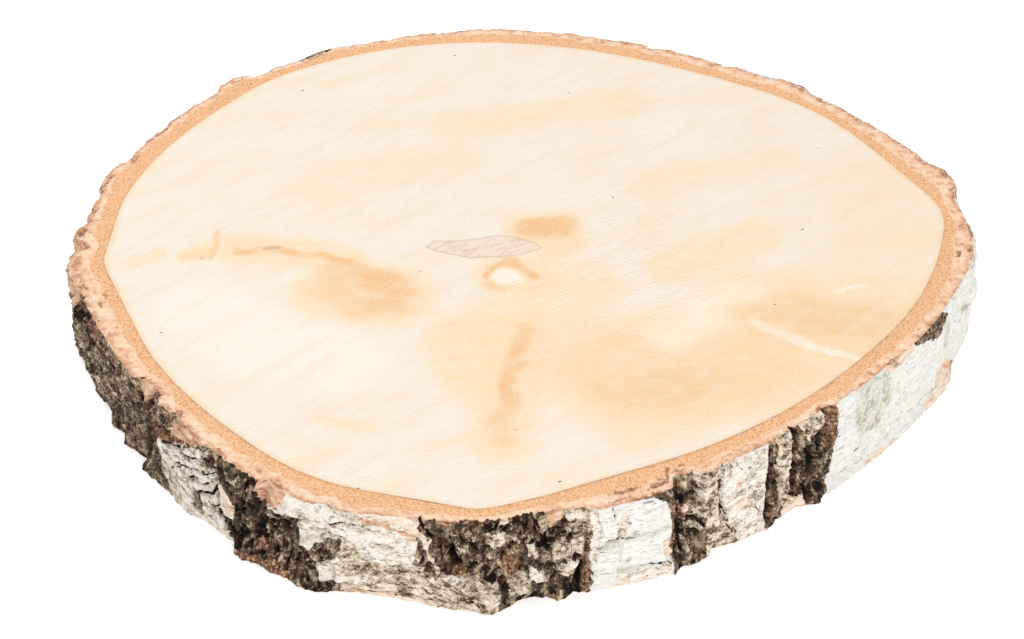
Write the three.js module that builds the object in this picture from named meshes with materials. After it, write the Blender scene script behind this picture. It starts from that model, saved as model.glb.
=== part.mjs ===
// A slice sawn across a birch trunk, with its bark on, lying flat on its lower sawn face.
// Millimetres, +Z up. The origin is in the middle of the lower face, +X runs along the longest
// width and -Y points to the side with the white plates and the black furrows.
// Angles are in degrees round the pith, from +X towards +Y.
import * as THREE from 'three';

// Driving dimensions.
const THICKNESS = 27;
const COLUMNS = 360;
// Heights of the rows of points up the bark, between the two sawn faces.
const ROW_HEIGHTS = [1.3, 4, 7, 10, 13, 16, 19, 22, 25.2];
// The sawn bark lies a little lower than the sawn wood, and drops to that level over this width.
const BARK_SINK = 0.35;
const BARK_DROP_WIDTH = 0.6;
// At the lower face the rim is torn back only by this share of what it is at the upper face.
const LOWER_TEAR = 0.5;
// Where the pith lies, seen from the middle of the slice's box.
const PITH = { x: 0.24, y: -0.43 };

// Edge of the wood as [angle, radius]: a rounded three-cornered disc with its corners at the
// right, the left and the front.
const WOOD_EDGE = [
  [0, 113.2], [9, 117], [20, 112.7], [40, 110.4], [60, 106.2], [80, 107.8], [105, 113.1],
  [130, 116.2], [160, 114.6], [182, 115.1], [190, 110.7], [205, 107.9], [225, 108], [243, 111.1],
  [257, 109.7], [264, 111], [269, 107.8], [280, 101], [291, 98.1], [310, 97], [330, 100],
  [350, 108.4],
];

// Mean outer face of the bark as [angle, radius], before its ridges and furrows.
const BARK_FACE = [
  [0, 123.3], [9, 123.4], [17, 124.2], [23, 122], [34, 119.4], [50, 116.6], [66, 115.4],
  [80, 117.1], [95, 119.8], [112, 120.9], [130, 121.8], [150, 122], [170, 122], [181, 121.8],
  [191, 119.2], [203, 116.2], [218, 115.3], [229, 117.4], [239, 120.2], [248, 119.4],
  [256, 117.4], [264, 117], [274, 112.3], [288, 109], [300, 105.2], [312, 104.4],
  [324, 105.8], [337, 110.4], [350, 117],
];

// Stretches of bark, each from one angle to the next one's start. raise lifts the whole stretch,
// ridge is the height of its upright ridges, pitch their spacing, lump the height of its knobs,
// and torn is how far the torn rim steps back from the bark's face at the sawn faces.
const STRETCHES = [
  { name: 'white sheet, right', from: -42, raise: 0.1, ridge: 0.1, pitch: 9, lump: 0.2, torn: 0.9 },
  { name: 'torn peach rim', from: 12, raise: 0.3, ridge: 0.4, pitch: 6, lump: 0.5, torn: 1.8 },
  { name: 'brown flakes, right', from: 25, raise: 0.3, ridge: 0.8, pitch: 5.5, lump: 0.8, torn: 1.6 },
  { name: 'thin sheet, back', from: 75, raise: 0, ridge: 0.3, pitch: 8, lump: 0.3, torn: 0.9 },
  { name: 'brown flakes, back', from: 112, raise: 0.2, ridge: 0.8, pitch: 6, lump: 0.8, torn: 1.5 },
  { name: 'black slab', from: 179.5, raise: 0.8, ridge: 0.9, pitch: 5, lump: 0.9, torn: 2.2 },
  { name: 'black strip', from: 210.5, raise: -0.6, ridge: 0.4, pitch: 4, lump: 0.5, torn: 2.4 },
  { name: 'cracked white plate', from: 216, raise: 0.6, ridge: 0.2, pitch: 6, lump: 0.3, torn: 2.2 },
  { name: 'black ridge', from: 230, raise: 0.9, ridge: 0.8, pitch: 4.5, lump: 0.8, torn: 2.2 },
  { name: 'black hollow', from: 237.5, raise: -1, ridge: 0.4, pitch: 5, lump: 0.8, torn: 1.2 },
  { name: 'broad white plate', from: 247, raise: 0.5, ridge: 0.2, pitch: 9, lump: 0.4, torn: 1.2 },
  { name: 'black crag', from: 260.5, raise: 0.5, ridge: 0.7, pitch: 6, lump: 1.3, torn: 2.8 },
  { name: 'square white plate', from: 277.5, raise: 1, ridge: 0.1, pitch: 8, lump: 0.1, torn: 1.2 },
  { name: 'black gap', from: 289.5, raise: -1.2, ridge: 0.4, pitch: 3, lump: 0.8, torn: 2.4 },
  { name: 'grey pillar', from: 293.5, raise: 0.7, ridge: 0.2, pitch: 5, lump: 0.2, torn: 1.4 },
  { name: 'mottled plate', from: 298, raise: 0.3, ridge: 0.2, pitch: 6, lump: 0.4, torn: 1.6 },
  { name: 'black ribs', from: 305.5, raise: 0.4, ridge: 0.8, pitch: 5, lump: 0.4, torn: 2.2 },
];
// Half the width, in degrees, over which one stretch turns into the next.
const STRETCH_BLEND = 0.5;

// Furrows down the bark: angle at the top and at the bottom, highest and lowest point, half
// width and depth.
const FURROWS = [
  { top: 34, foot: 33, high: 27, low: 0, half: 2, depth: 1.6 },
  { top: 46, foot: 47, high: 27, low: 0, half: 2, depth: 2 },
  { top: 58, foot: 57, high: 27, low: 4, half: 2, depth: 1.8 },
  { top: 70, foot: 71, high: 27, low: 0, half: 2, depth: 1.4 },
  { top: 119, foot: 118, high: 27, low: 0, half: 2, depth: 1.8 },
  { top: 132, foot: 133, high: 27, low: 0, half: 2, depth: 1.6 },
  { top: 147, foot: 146, high: 27, low: 3, half: 2, depth: 2.2 },
  { top: 160, foot: 161, high: 27, low: 0, half: 2, depth: 1.8 },
  { top: 173.5, foot: 172, high: 27, low: 0, half: 2, depth: 2.4 },
  { top: 179.5, foot: 179, high: 27, low: 6, half: 1.8, depth: 2.4 },
  { top: 187, foot: 188, high: 27, low: 4, half: 2, depth: 2.2 },
  { top: 196, foot: 195, high: 21, low: 0, half: 2, depth: 1.6 },
  { top: 203, foot: 204, high: 24, low: 2, half: 2, depth: 1.8 },
  { top: 214, foot: 211.5, high: 27, low: 1, half: 2, depth: 3.4 },
  { top: 220, foot: 223, high: 15, low: 3, half: 1.6, depth: 1.4 },
  { top: 229, foot: 231, high: 25, low: 1, half: 1.8, depth: 2.6 },
  { top: 237.5, foot: 237, high: 24, low: 5, half: 1.8, depth: 2 },
  { top: 259.5, foot: 265, high: 21, low: 0, half: 1.8, depth: 1.8 },
  { top: 277.2, foot: 276, high: 17, low: 0, half: 2, depth: 3.6 },
  { top: 289.7, foot: 291, high: 24, low: 0, half: 1.8, depth: 2 },
  { top: 297.7, foot: 297.5, high: 27, low: 1, half: 1.8, depth: 2.4 },
  { top: 306, foot: 305.5, high: 26, low: 2, half: 1.8, depth: 2.4 },
  { top: 310, foot: 309.5, high: 25, low: 3, half: 1.8, depth: 2 },
  { top: 314, foot: 312.5, high: 25, low: 1, half: 1.8, depth: 2.8 },
];

// Bulges and hollows: angle and height of the middle, half width, half height, and how far the
// middle stands out (or lies back, where it is negative).
const BULGES = [
  { name: 'pink knob, right', at: 357, up: 17, wide: 4, tall: 4, out: 1.4 },
  { name: 'brown flake, right', at: 51, up: 19, wide: 9, tall: 9, out: 1.6 },
  { name: 'first brown flake, back', at: 121, up: 22, wide: 8, tall: 9, out: 1.9 },
  { name: 'second brown flake, back', at: 136, up: 21, wide: 8, tall: 10, out: 2.8 },
  { name: 'knob over the slab', at: 176.6, up: 24, wide: 4, tall: 6, out: 1.6 },
  { name: 'red flake of the slab', at: 189, up: 19, wide: 9, tall: 8, out: 2.4 },
  { name: 'foot of the slab', at: 184, up: 5, wide: 10, tall: 7, out: 1.2 },
  { name: 'black blob', at: 218, up: 22.5, wide: 5.5, tall: 5, out: 1.4 },
  { name: 'loose chip', at: 214, up: 1.5, wide: 5, tall: 4, out: 1.6 },
  { name: 'overhanging lip', at: 243.5, up: 23, wide: 10, tall: 4.5, out: 2.6 },
  { name: 'white boulder', at: 245, up: 12, wide: 5.5, tall: 5, out: 2.4 },
  { name: 'foot of the crag', at: 264, up: 2, wide: 7, tall: 5, out: 2 },
  { name: 'red hollow', at: 268, up: 11.5, wide: 5, tall: 5.5, out: -2.6 },
  { name: 'upper rock', at: 273.5, up: 17, wide: 4, tall: 4, out: 1.6 },
  { name: 'lower rock', at: 274.5, up: 11, wide: 4.5, tall: 3.5, out: 1.8 },
];

// Stations of the profile, from the axis outwards.
const AXIS = 0;
const WOOD = 1;
const BARK = 2;
const RIM = 3;
const FACE = 4;

// Radius at an angle on a smooth closed outline through [angle, radius] points.
function outlineRadius(outline, angle) {
  const count = outline.length;
  const turned = THREE.MathUtils.euclideanModulo(angle - outline[0][0], 360) + outline[0][0];
  let start = count - 1;
  while (start > 0 && outline[start][0] > turned) start -= 1;
  const point = (index) => {
    const turns = Math.floor(index / count);
    const [a, r] = outline[index - turns * count];
    return [a + 360 * turns, r];
  };
  const [a0, r0] = point(start - 1);
  const [a1, r1] = point(start);
  const [a2, r2] = point(start + 1);
  const [a3, r3] = point(start + 2);
  const span = a2 - a1;
  const t = (turned - a1) / span;
  const slope1 = ((r2 - r0) / (a2 - a0)) * span;
  const slope2 = ((r3 - r1) / (a3 - a1)) * span;
  const bend = (2 * t * t * t - 3 * t * t + 1) * r1 + (t * t * t - 2 * t * t + t) * slope1;
  return bend + (3 * t * t - 2 * t * t * t) * r2 + (t * t * t - t * t) * slope2;
}

// Signed difference between two angles, from -180 to 180.
function turnBetween(from, to) {
  return THREE.MathUtils.euclideanModulo(to - from + 180, 360) - 180;
}

// One value of the stretch at an angle, blended with its neighbours' at the borders.
function stretchValue(angle, key) {
  const first = STRETCHES[0].from;
  const turned = THREE.MathUtils.euclideanModulo(angle - first, 360) + first;
  return STRETCHES.reduce((value, stretch, index) => {
    if (index === 0) return value;
    const step = THREE.MathUtils.smoothstep(
      turned, stretch.from - STRETCH_BLEND, stretch.from + STRETCH_BLEND,
    );
    return THREE.MathUtils.lerp(value, stretch[key], step);
  }, STRETCHES[0][key]);
}

// Arc length, in millimetres, that an angle spans on the mean face of the bark.
function arcLength(angle, radius) {
  return THREE.MathUtils.degToRad(angle) * radius;
}

// Upright ridges that wander a little and break up on their way down.
function ridges(angle, height, radius) {
  const sway = 1.1 * Math.sin(height * 0.31 + angle * 0.21) + 0.5 * Math.sin(height * 0.83);
  const along = arcLength(angle, radius) + sway;
  const wave = Math.sin((2 * Math.PI * along) / stretchValue(angle, 'pitch'));
  const breaks = 0.75 + 0.25 * Math.sin(height * 0.62 + angle * 0.47);
  return stretchValue(angle, 'ridge') * wave * breaks;
}

// Rounded knobs, from three crossing waves of unlike length.
function knobs(angle, height, radius) {
  const along = arcLength(angle, radius);
  const waves = Math.sin(along * 0.61 + height * 0.37)
    + Math.sin(along * 0.43 - height * 0.52 + 1.7)
    + Math.sin(along * 0.29 + height * 0.71 + 4.1);
  return (stretchValue(angle, 'lump') * waves) / 2.2;
}

// Depth of the furrows at a point of the bark.
function furrowDepth(angle, height, radius) {
  return FURROWS.reduce((depth, furrow) => {
    const down = (THICKNESS - height) / THICKNESS;
    const middle = THREE.MathUtils.lerp(furrow.top, furrow.foot, down);
    const aside = Math.abs(arcLength(turnBetween(middle, angle), radius));
    const across = Math.max(0, 1 - aside / furrow.half);
    const into = THREE.MathUtils.smoothstep(height, furrow.low - 2, furrow.low + 1);
    const below = 1 - THREE.MathUtils.smoothstep(height, furrow.high - 1, furrow.high + 2);
    return Math.max(depth, furrow.depth * across * into * below);
  }, 0);
}

// Height of the bulges, less that of the hollows, at a point of the bark.
function bulgeHeight(angle, height, radius) {
  return BULGES.reduce((sum, bulge) => {
    const x = arcLength(turnBetween(bulge.at, angle), radius) / bulge.wide;
    const y = (height - bulge.up) / bulge.tall;
    const fall = Math.max(0, 1 - x * x - y * y);
    return sum + bulge.out * fall * (2 - fall);
  }, 0);
}

// Radius of the bark's outer face.
function faceRadius(angle, height) {
  const radius = outlineRadius(BARK_FACE, angle);
  return radius
    + stretchValue(angle, 'raise')
    + ridges(angle, height, radius)
    + knobs(angle, height, radius)
    + bulgeHeight(angle, height, radius)
    - furrowDepth(angle, height, radius);
}

// Radius at which a sawn face ends and the torn rim begins.
function rimRadius(angle, height) {
  const share = height > THICKNESS / 2 ? 1 : LOWER_TEAR;
  return faceRadius(angle, height) - share * stretchValue(angle, 'torn');
}

// Real radius of a station of the profile.
function stationRadius(station, angle, height) {
  if (station === WOOD) return outlineRadius(WOOD_EDGE, angle);
  if (station === BARK) return outlineRadius(WOOD_EDGE, angle) + BARK_DROP_WIDTH;
  if (station === RIM) return rimRadius(angle, height);
  if (station === FACE) return faceRadius(angle, height);
  return 0;
}

// Profile of the slice, from the axis on the lower face to the axis on the upper face.
function profile() {
  const sink = (station) => (station === BARK || station === RIM ? BARK_SINK : 0);
  const stations = [AXIS, WOOD, BARK, RIM];
  const lower = stations.map((station) => new THREE.Vector2(station, sink(station)));
  const side = ROW_HEIGHTS.map((height) => new THREE.Vector2(FACE, height));
  const upper = stations.map((station) => new THREE.Vector2(station, THICKNESS - sink(station)));
  return [...lower, ...side, ...upper.reverse()];
}

// Turns the profile round the axis and moves each point out to its real place.
function sliceGeometry() {
  const geometry = new THREE.LatheGeometry(profile(), COLUMNS);
  geometry.rotateX(Math.PI / 2);
  const position = geometry.getAttribute('position');
  for (let i = 0; i < position.count; i += 1) {
    const station = Math.round(Math.hypot(position.getX(i), position.getY(i)));
    const turn = Math.atan2(position.getY(i), position.getX(i));
    const radius = stationRadius(station, THREE.MathUtils.radToDeg(turn), position.getZ(i));
    position.setX(i, PITH.x + radius * Math.cos(turn));
    position.setY(i, PITH.y + radius * Math.sin(turn));
  }
  geometry.computeVertexNormals();
  return geometry;
}

const birchWood = new THREE.MeshStandardMaterial({
  name: 'birch wood and bark',
  color: 0xf6e2c2,
  roughness: 0.7,
  metalness: 0,
});

const slice = new THREE.Mesh(sliceGeometry(), birchWood);
slice.name = 'birch_slice';

const part = new THREE.Group();
part.add(slice);

export default part;
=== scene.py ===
"""A slice of birch trunk with its bark on: its sawn wood, its bark, and a plain studio.

Shapes are worked out in millimetres round the pith, with angles in degrees from +X towards +Y,
and turned into metres as each mesh is made.
"""
import math

import bpy
import numpy as np
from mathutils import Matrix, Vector
from mathutils.geometry import delaunay_2d_cdt


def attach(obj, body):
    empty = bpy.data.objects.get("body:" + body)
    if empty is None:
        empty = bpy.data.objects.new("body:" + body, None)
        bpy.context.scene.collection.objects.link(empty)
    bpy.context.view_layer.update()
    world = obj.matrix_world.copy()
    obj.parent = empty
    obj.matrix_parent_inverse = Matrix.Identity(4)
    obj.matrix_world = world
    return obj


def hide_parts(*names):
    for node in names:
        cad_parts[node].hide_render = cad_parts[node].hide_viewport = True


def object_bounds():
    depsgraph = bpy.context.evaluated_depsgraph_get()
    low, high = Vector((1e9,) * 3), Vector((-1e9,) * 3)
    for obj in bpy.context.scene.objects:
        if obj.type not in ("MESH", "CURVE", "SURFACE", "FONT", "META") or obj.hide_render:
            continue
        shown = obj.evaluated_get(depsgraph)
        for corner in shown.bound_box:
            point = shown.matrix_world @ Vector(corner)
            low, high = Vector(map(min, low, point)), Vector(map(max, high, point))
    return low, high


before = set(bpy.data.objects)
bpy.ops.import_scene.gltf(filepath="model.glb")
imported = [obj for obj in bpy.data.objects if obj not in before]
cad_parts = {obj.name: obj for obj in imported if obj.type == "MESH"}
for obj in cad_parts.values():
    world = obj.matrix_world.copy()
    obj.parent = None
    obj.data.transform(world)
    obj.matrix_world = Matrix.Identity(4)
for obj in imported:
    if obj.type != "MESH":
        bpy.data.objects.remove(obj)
CAD_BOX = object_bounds()
SLICE = "birch_slice"

# Metres in a millimetre.
MM = 0.001
# Sizes shared with the solid, in millimetres: how far the sawn bark lies below the wood, how
# wide the slope down to it is, and where the pith lies.
THICKNESS = round((CAD_BOX[1][2] - CAD_BOX[0][2]) / MM, 2)
BARK_SINK = 0.35
BARK_DROP_WIDTH = 0.6
PITH = (0.24, -0.43)
# Millimetres of bark to a degree, about the same all round.
DEGREE = 2.0
# How much of the upper rim's tear the lower rim has.
LOWER_TEAR = 0.5
# A distance that counts as far from a patch or a crack.
FAR = 9.0
# Heights at which noise is taken, for the torn rims and for the upper sawn face.
RIM_NOISE_HEIGHT = 40.0
UPPER_NOISE_HEIGHT = 9.0

# Sectors of the bark: name, first and last angle, which lie in a furrow or on the hidden side,
# and the width of a column in degrees.
SECTORS = [
    ("bark_front", 211.8, 313.4, 0.15),
    ("bark_right", 313.4, 450.0, 0.2),
    ("bark_left", 90.0, 211.8, 0.2),
]
# Rows of points across the sawn bark above and below, rows up its hidden wall, and the spacing
# of the rows down its face.
CUT_ROWS = 22
LOWER_ROWS = 12
WALL_ROWS = 2
FACE_STEP = 0.3
# Spacing of the points on the sawn wood and on its underside, half the field they fill, and
# for a spacing of 1 the distance from row to row and the room left at the edge.
WOOD_STEP = 1.0
UNDER_STEP = 9.0
WOOD_FIELD = 130
ROW_STEP = 0.87
EDGE_ROOM = 0.7

# The bark's map: strips of a sector one above another, the room round each, and the width that
# a hidden row has on it in millimetres.
MAP_STRIPS = 2
MAP_ROOM = 0.01
HIDDEN_STEP = 0.4
# The wood's map: the middle and radius of each face, for a disc with a radius of MAP_REACH, and
# how far out its hidden wall reaches round the upper one.
TOP_MAP = (0.385, 0.37)
UNDER_MAP = (0.81, 0.18)
MAP_REACH = 120
WALL_REACH = 1.02

# The photograph's view: the point looked at, the distance in metres, the height of the view in
# degrees, the lens and the width of its picture.
LOOK_AT = (PITH[0] - 3.45, PITH[1] - 33.54, THICKNESS)
VIEW_DISTANCE = 0.7
VIEW_HEIGHT = 36.0
LENS = 93.9
SENSOR = 36.0

# The studio in metres: the floor's size, its gap under the slice and its glow, the light from
# all round, and the lamps with their places, sizes and powers.
FLOOR_SIZE = 12
FLOOR_GAP = 0.0002
FLOOR_GLOW = 0.42
SKY_LIGHT = 0.66
LAMPS = [
    ("lamp_above", (-0.5, 0.4, 1.1), 0.6, 6.5),
    ("lamp_front", (0.5, -1.1, 0.75), 0.5, 8.0),
]

# Slopes of angles between which the saw left teeth in the wood's edge, and between which the
# hidden rim is torn.
TEETH = ((190, 205), (236, 246))
TORN_BACK = ((8, 14), (174, 178))

WOOD_EDGE = [
    (0, 113.2), (9, 117), (20, 112.7), (40, 110.4), (60, 106.2), (80, 107.8), (105, 113.1),
    (130, 116.2), (140, 114.7), (150, 114.2), (163, 114.3), (170, 114.1), (178.5, 112.6),
    (182.3, 113.9), (185.5, 113), (190.5, 110.3), (197, 108.5), (205, 107.9), (225, 108),
    (243, 111.1), (257, 109.7), (264, 111), (269, 107.8), (280, 101), (291, 98.1), (310, 97),
    (330, 100), (350, 108.4),
]
BARK_FACE = [
    (0, 123.3), (9, 123.4), (17, 124.2), (23, 122), (34, 119.4), (50, 116.6), (66, 115.4),
    (80, 117.1), (95, 119.8), (112, 120.9), (130, 121.8), (150, 122), (170, 122), (181, 121.8),
    (191, 119.2), (203, 116.2), (218, 115.3), (229, 117.4), (239, 120.2), (248, 119.4),
    (256, 117.4), (264, 117), (274, 112.3), (288, 109), (300, 105.2), (312, 104.4),
    (324, 105.8), (337, 110.4), (350, 117),
]

# Stretches of bark, each from its first angle to the next one's. The columns are that angle, how
# far the bark stands out, how rough it is, how far its torn rim steps back, how much of it white
# paper covers, and how much lighter it is.
STRETCH_COLUMNS = ("start", "lift", "rough", "torn", "paper", "light")
STRETCHES = [dict(zip(STRETCH_COLUMNS, row)) for row in (
    (-42, 0.1, 0.1, 0.5, 1.0, 0.0),
    (12, 0.6, 0.4, 0.6, 0.6, 0.2),
    (25, 0.3, 0.4, 0.5, 0.4, 0.2),
    (75, 0.0, 0.2, 0.5, 0.4, 0.2),
    (112, 0.2, 0.4, 0.5, 0.4, 0.2),
    (178.5, 1.4, 0.7, 0.9, 0.0, 0.1),
    (196, 0.8, 0.5, 0.4, 0.0, 0.15),
    (210.5, -0.6, 0.8, 1.4, 0.0, 0.15),
    (216, 0.6, 0.8, 0.9, 0.0, 0.4),
    (230, 0.9, 1.0, 0.8, 0.0, -0.15),
    (237.5, -1.0, 1.0, 1.0, 0.0, 0.2),
    (247, 0.5, 0.7, 1.0, 0.0, 0.1),
    (260.5, 0.5, 1.0, 1.6, 0.0, 0.15),
    (277.5, 1.0, 0.6, 0.8, 0.0, 0.2),
    (289.5, -1.2, 1.0, 1.8, 0.0, 0.2),
    (293.5, 0.7, 0.5, 1.0, 0.0, 0.2),
    (298, 0.3, 0.5, 1.0, 0.0, 0.2),
    (305.5, 0.4, 1.0, 1.4, 0.0, 0.1),
)]
STRETCH_BLEND = 0.5

# Furrows: angle at the top and at the foot, highest and lowest point, half width, depth.
FURROWS = [
    (34, 33, 27, 0, 1.6, 1.2), (46, 47, 24, 0, 1.6, 1.8), (58, 57, 27, 4, 1.6, 1.4),
    (70, 71, 27, 0, 1.6, 1.2), (115, 114, 24, 0, 1.6, 1.8), (128.6, 129, 25, 0, 1.6, 1.4),
    (147, 146, 23, 3, 1.6, 1.8), (154, 155, 24, 0, 1.6, 1.2), (173.5, 172, 27, 0, 1.6, 2.0),
    (179.5, 179, 27, 6, 1.6, 2.4), (187, 188, 24, 4, 1.6, 2.0), (196, 195, 21, 0, 1.4, 1.6),
    (203, 204, 24, 2, 1.4, 1.8), (214, 211.5, 24.6, 1, 1.5, 3.2), (229, 231, 24.5, 1, 1.2, 2.2),
    (237.5, 237, 24, 5, 1.6, 2), (259.5, 265, 21, 0, 1.4, 1.6), (277, 276.2, 10, 0, 1.6, 3.2),
    (289.7, 291, 24, 0, 1.6, 2), (296, 298.2, 25, 3, 1.4, 1.2), (305.4, 305.2, 24.6, 1, 1.0, 2.2),
    (309.8, 309.6, 24.6, 3, 0.7, 1.6), (307.6, 307.2, 24, 2, 0.5, 0.8), (313.2, 312.8, 24, 1, 0.9, 2.4),
    (315.2, 314.4, 21, 4, 0.9, 1.8),
]

# Bulges: angle and height of the middle, half width, half height, and how far it stands out.
BULGES = [
    (357, 17, 4, 4, 1.4), (17, 20, 8, 12, 1.6), (47, 19, 9, 12, 2.4), (119.5, 20, 9, 12, 1.6),
    (134.6, 20, 7, 13, 3.6), (162.5, 19, 9, 13, 2.2), (176.6, 24, 4, 6, 1.6),
    (184, 22, 8, 7, 1.2), (190, 17, 7, 8, 1.8), (184, 5, 10, 7, 1.2), (218, 22.5, 5.5, 5, 1.4),
    (214, 1.5, 5, 4, 1.6), (243.5, 23, 10, 4.5, 2.6), (245, 12, 5.5, 5, 2.4), (264, 2, 7, 5, 2),
    (268, 11.5, 5, 5.5, -2.6), (273.5, 17, 4, 4, 1.6), (274.5, 11, 4.5, 3.5, 1.8),
]

# Bark of the face that shows a little way in over the rim: from one angle to another, and how
# far in.
OVER_RIM = [
    (38, 55, 0.5), (116, 124, 1.0), (176.5, 179, 0.8), (186.5, 190, 0.6), (217.6, 221.4, 1.0),
    (229, 238, 0.9), (241, 250, 0.4), (262.5, 271.5, 0.8), (284.5, 292.5, 0.8), (292.5, 297.6, 1.3),
    (304.8, 318, 0.3),
]

# How much of the width of the sawn bark its granular inner band takes up, as (angle, share).
INNER_BAND = [
    (0, 0.4), (30, 0.45), (60, 0.5), (90, 0.65), (120, 0.7), (165, 0.72), (180, 0.4), (195, 0.4),
    (215, 0.42), (236, 0.42), (246, 0.62), (262, 0.62), (272, 0.5), (300, 0.5), (320, 0.6), (350, 0.6),
    (360, 0.4),
]

# Brown tears in the sawn bark: angle, distance in from the rim, half length, half width and
# how dark.
SCARS = [
    (2, 1.0, 3, 0.6, 0.6), (8, 2.0, 2, 0.6, 0.5), (13, 0.8, 4, 0.5, 0.7), (17.5, 0.8, 3, 0.8, 0.8),
    (22.5, 1.0, 4, 0.6, 0.7), (34, 0.6, 6, 0.5, 0.7), (41, 1.0, 3, 0.6, 0.7), (46, 1.2, 4, 0.7, 0.8),
    (52, 0.6, 5, 0.6, 0.8), (121, 1.5, 5, 0.6, 0.8), (134, 1.6, 5, 1.0, 0.6), (150, 0.5, 8, 0.5, 0.7),
    (158, 1.2, 6, 0.7, 0.7), (164, 1.0, 5, 0.7, 0.7), (171, 1.0, 4, 0.6, 0.7),
    (176.5, 1.4, 2.4, 1.6, 0.9), (178.6, 0.6, 3, 0.9, 1.0), (180, 4, 2, 0.8, 0.5),
    (183, 1.6, 3, 1.2, 0.6), (188.4, 1.4, 2, 1.0, 0.8), (191, 5.6, 2.4, 0.7, 0.8),
    (193.2, 3.8, 1.4, 0.5, 1.0), (196.2, 1.6, 1.6, 0.6, 1.0), (217.6, 1.8, 3, 0.7, 0.6),
    (220, 1.8, 2.4, 0.9, 1.0), (229.4, 1.4, 1.4, 0.8, 1.0), (231, 1.6, 3, 0.4, 0.7),
    (239, 1.0, 3, 0.8, 0.7), (264, 0.8, 4, 0.4, 0.6), (273, 0.8, 3, 0.8, 0.7), (278.4, 1.6, 4, 0.4, 0.6),
    (282, 2.2, 5, 0.5, 0.8), (285.4, 1.0, 5, 0.6, 0.9), (289.6, 4.4, 3, 1.0, 1.0),
    (283.2, 4.8, 6, 0.8, 1.0), (287.6, 3.6, 4, 1.0, 1.0),
    (288.4, 5.0, 2.4, 0.5, 0.8), (292, 4.6, 1.8, 0.8, 0.9), (291, 2.6, 4, 0.6, 0.8),
    (298.8, 2.6, 4, 0.6, 0.6), (297.5, 1.6, 3, 0.5, 0.6), (304, 1.2, 4, 0.5, 0.6), (310, 2.0, 3, 0.5, 0.6),
    (316, 0.8, 2.4, 0.8, 0.8), (324.6, 0.6, 4, 0.5, 0.6), (331.6, 0.8, 2.4, 0.6, 0.8),
    (358.8, 4.2, 1.8, 0.8, 1.2), (359.6, 1.2, 2.4, 0.8, 1.2), (364, 0.6, 5, 0.5, 0.8),
]

# Where the foot of the bark's face lies, as (angle, distance out from its outline).
FOOT_EDGE = [
    (190, 0), (195, 0.8), (199.5, -0.9), (202.2, 1.8), (204.8, -0.6), (206.3, 1.6), (208.5, 0.4),
    (210.8, -0.8), (212.3, 2.2), (215, 1.5), (219, 1.0), (221, 1.8), (223.5, 1.4), (225.5, -0.4),
    (231.8, -0.8), (232.8, 1.7), (234, 2), (236.5, 0.6), (240.8, 0.4), (242.5, 1.8),
    (245.3, 1.8), (247.5, -0.4), (249.5, -1.2), (254, -0.8), (258.5, 0.2), (263.5, 0.8),
    (265, 2.4), (266.2, 2.6), (267.5, 1.2), (269, -1.4), (271, -1.6), (272.5, -0.6), (274, 1.6),
    (275, 1), (276, -1), (277.5, 0), (284, 0.2), (288.5, 0.4), (289.6, 2), (290.5, 0),
    (293.5, 1), (295.2, 0.2), (296, -1.4), (298, -0.6), (300, 0.4), (304.5, 1.2), (305.8, 1.4),
    (307, 0), (311.5, -0.2), (312.8, 0.8), (314.2, 2.6), (315.2, 1.8), (317, 1.6), (326, 1.6),
    (338, 1.4), (346, 2.2), (352, 1.6),
]
FOOT_BLEND = 5.0

# Tints of the bark, each laid over those before it, and how calm some of them make it.
# black is painted shade: near-black colour laid in the cracks, the deep furrows and one hole, by their
# depth.
TINTS = ("crag", "mottled", "worn", "paper", "algae", "rust", "peach", "cream", "black")
CALM = {"paper": 1, "worn": 1, "algae": 1, "cream": 1, "peach": 0.8, "mottled": 0.8}

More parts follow.
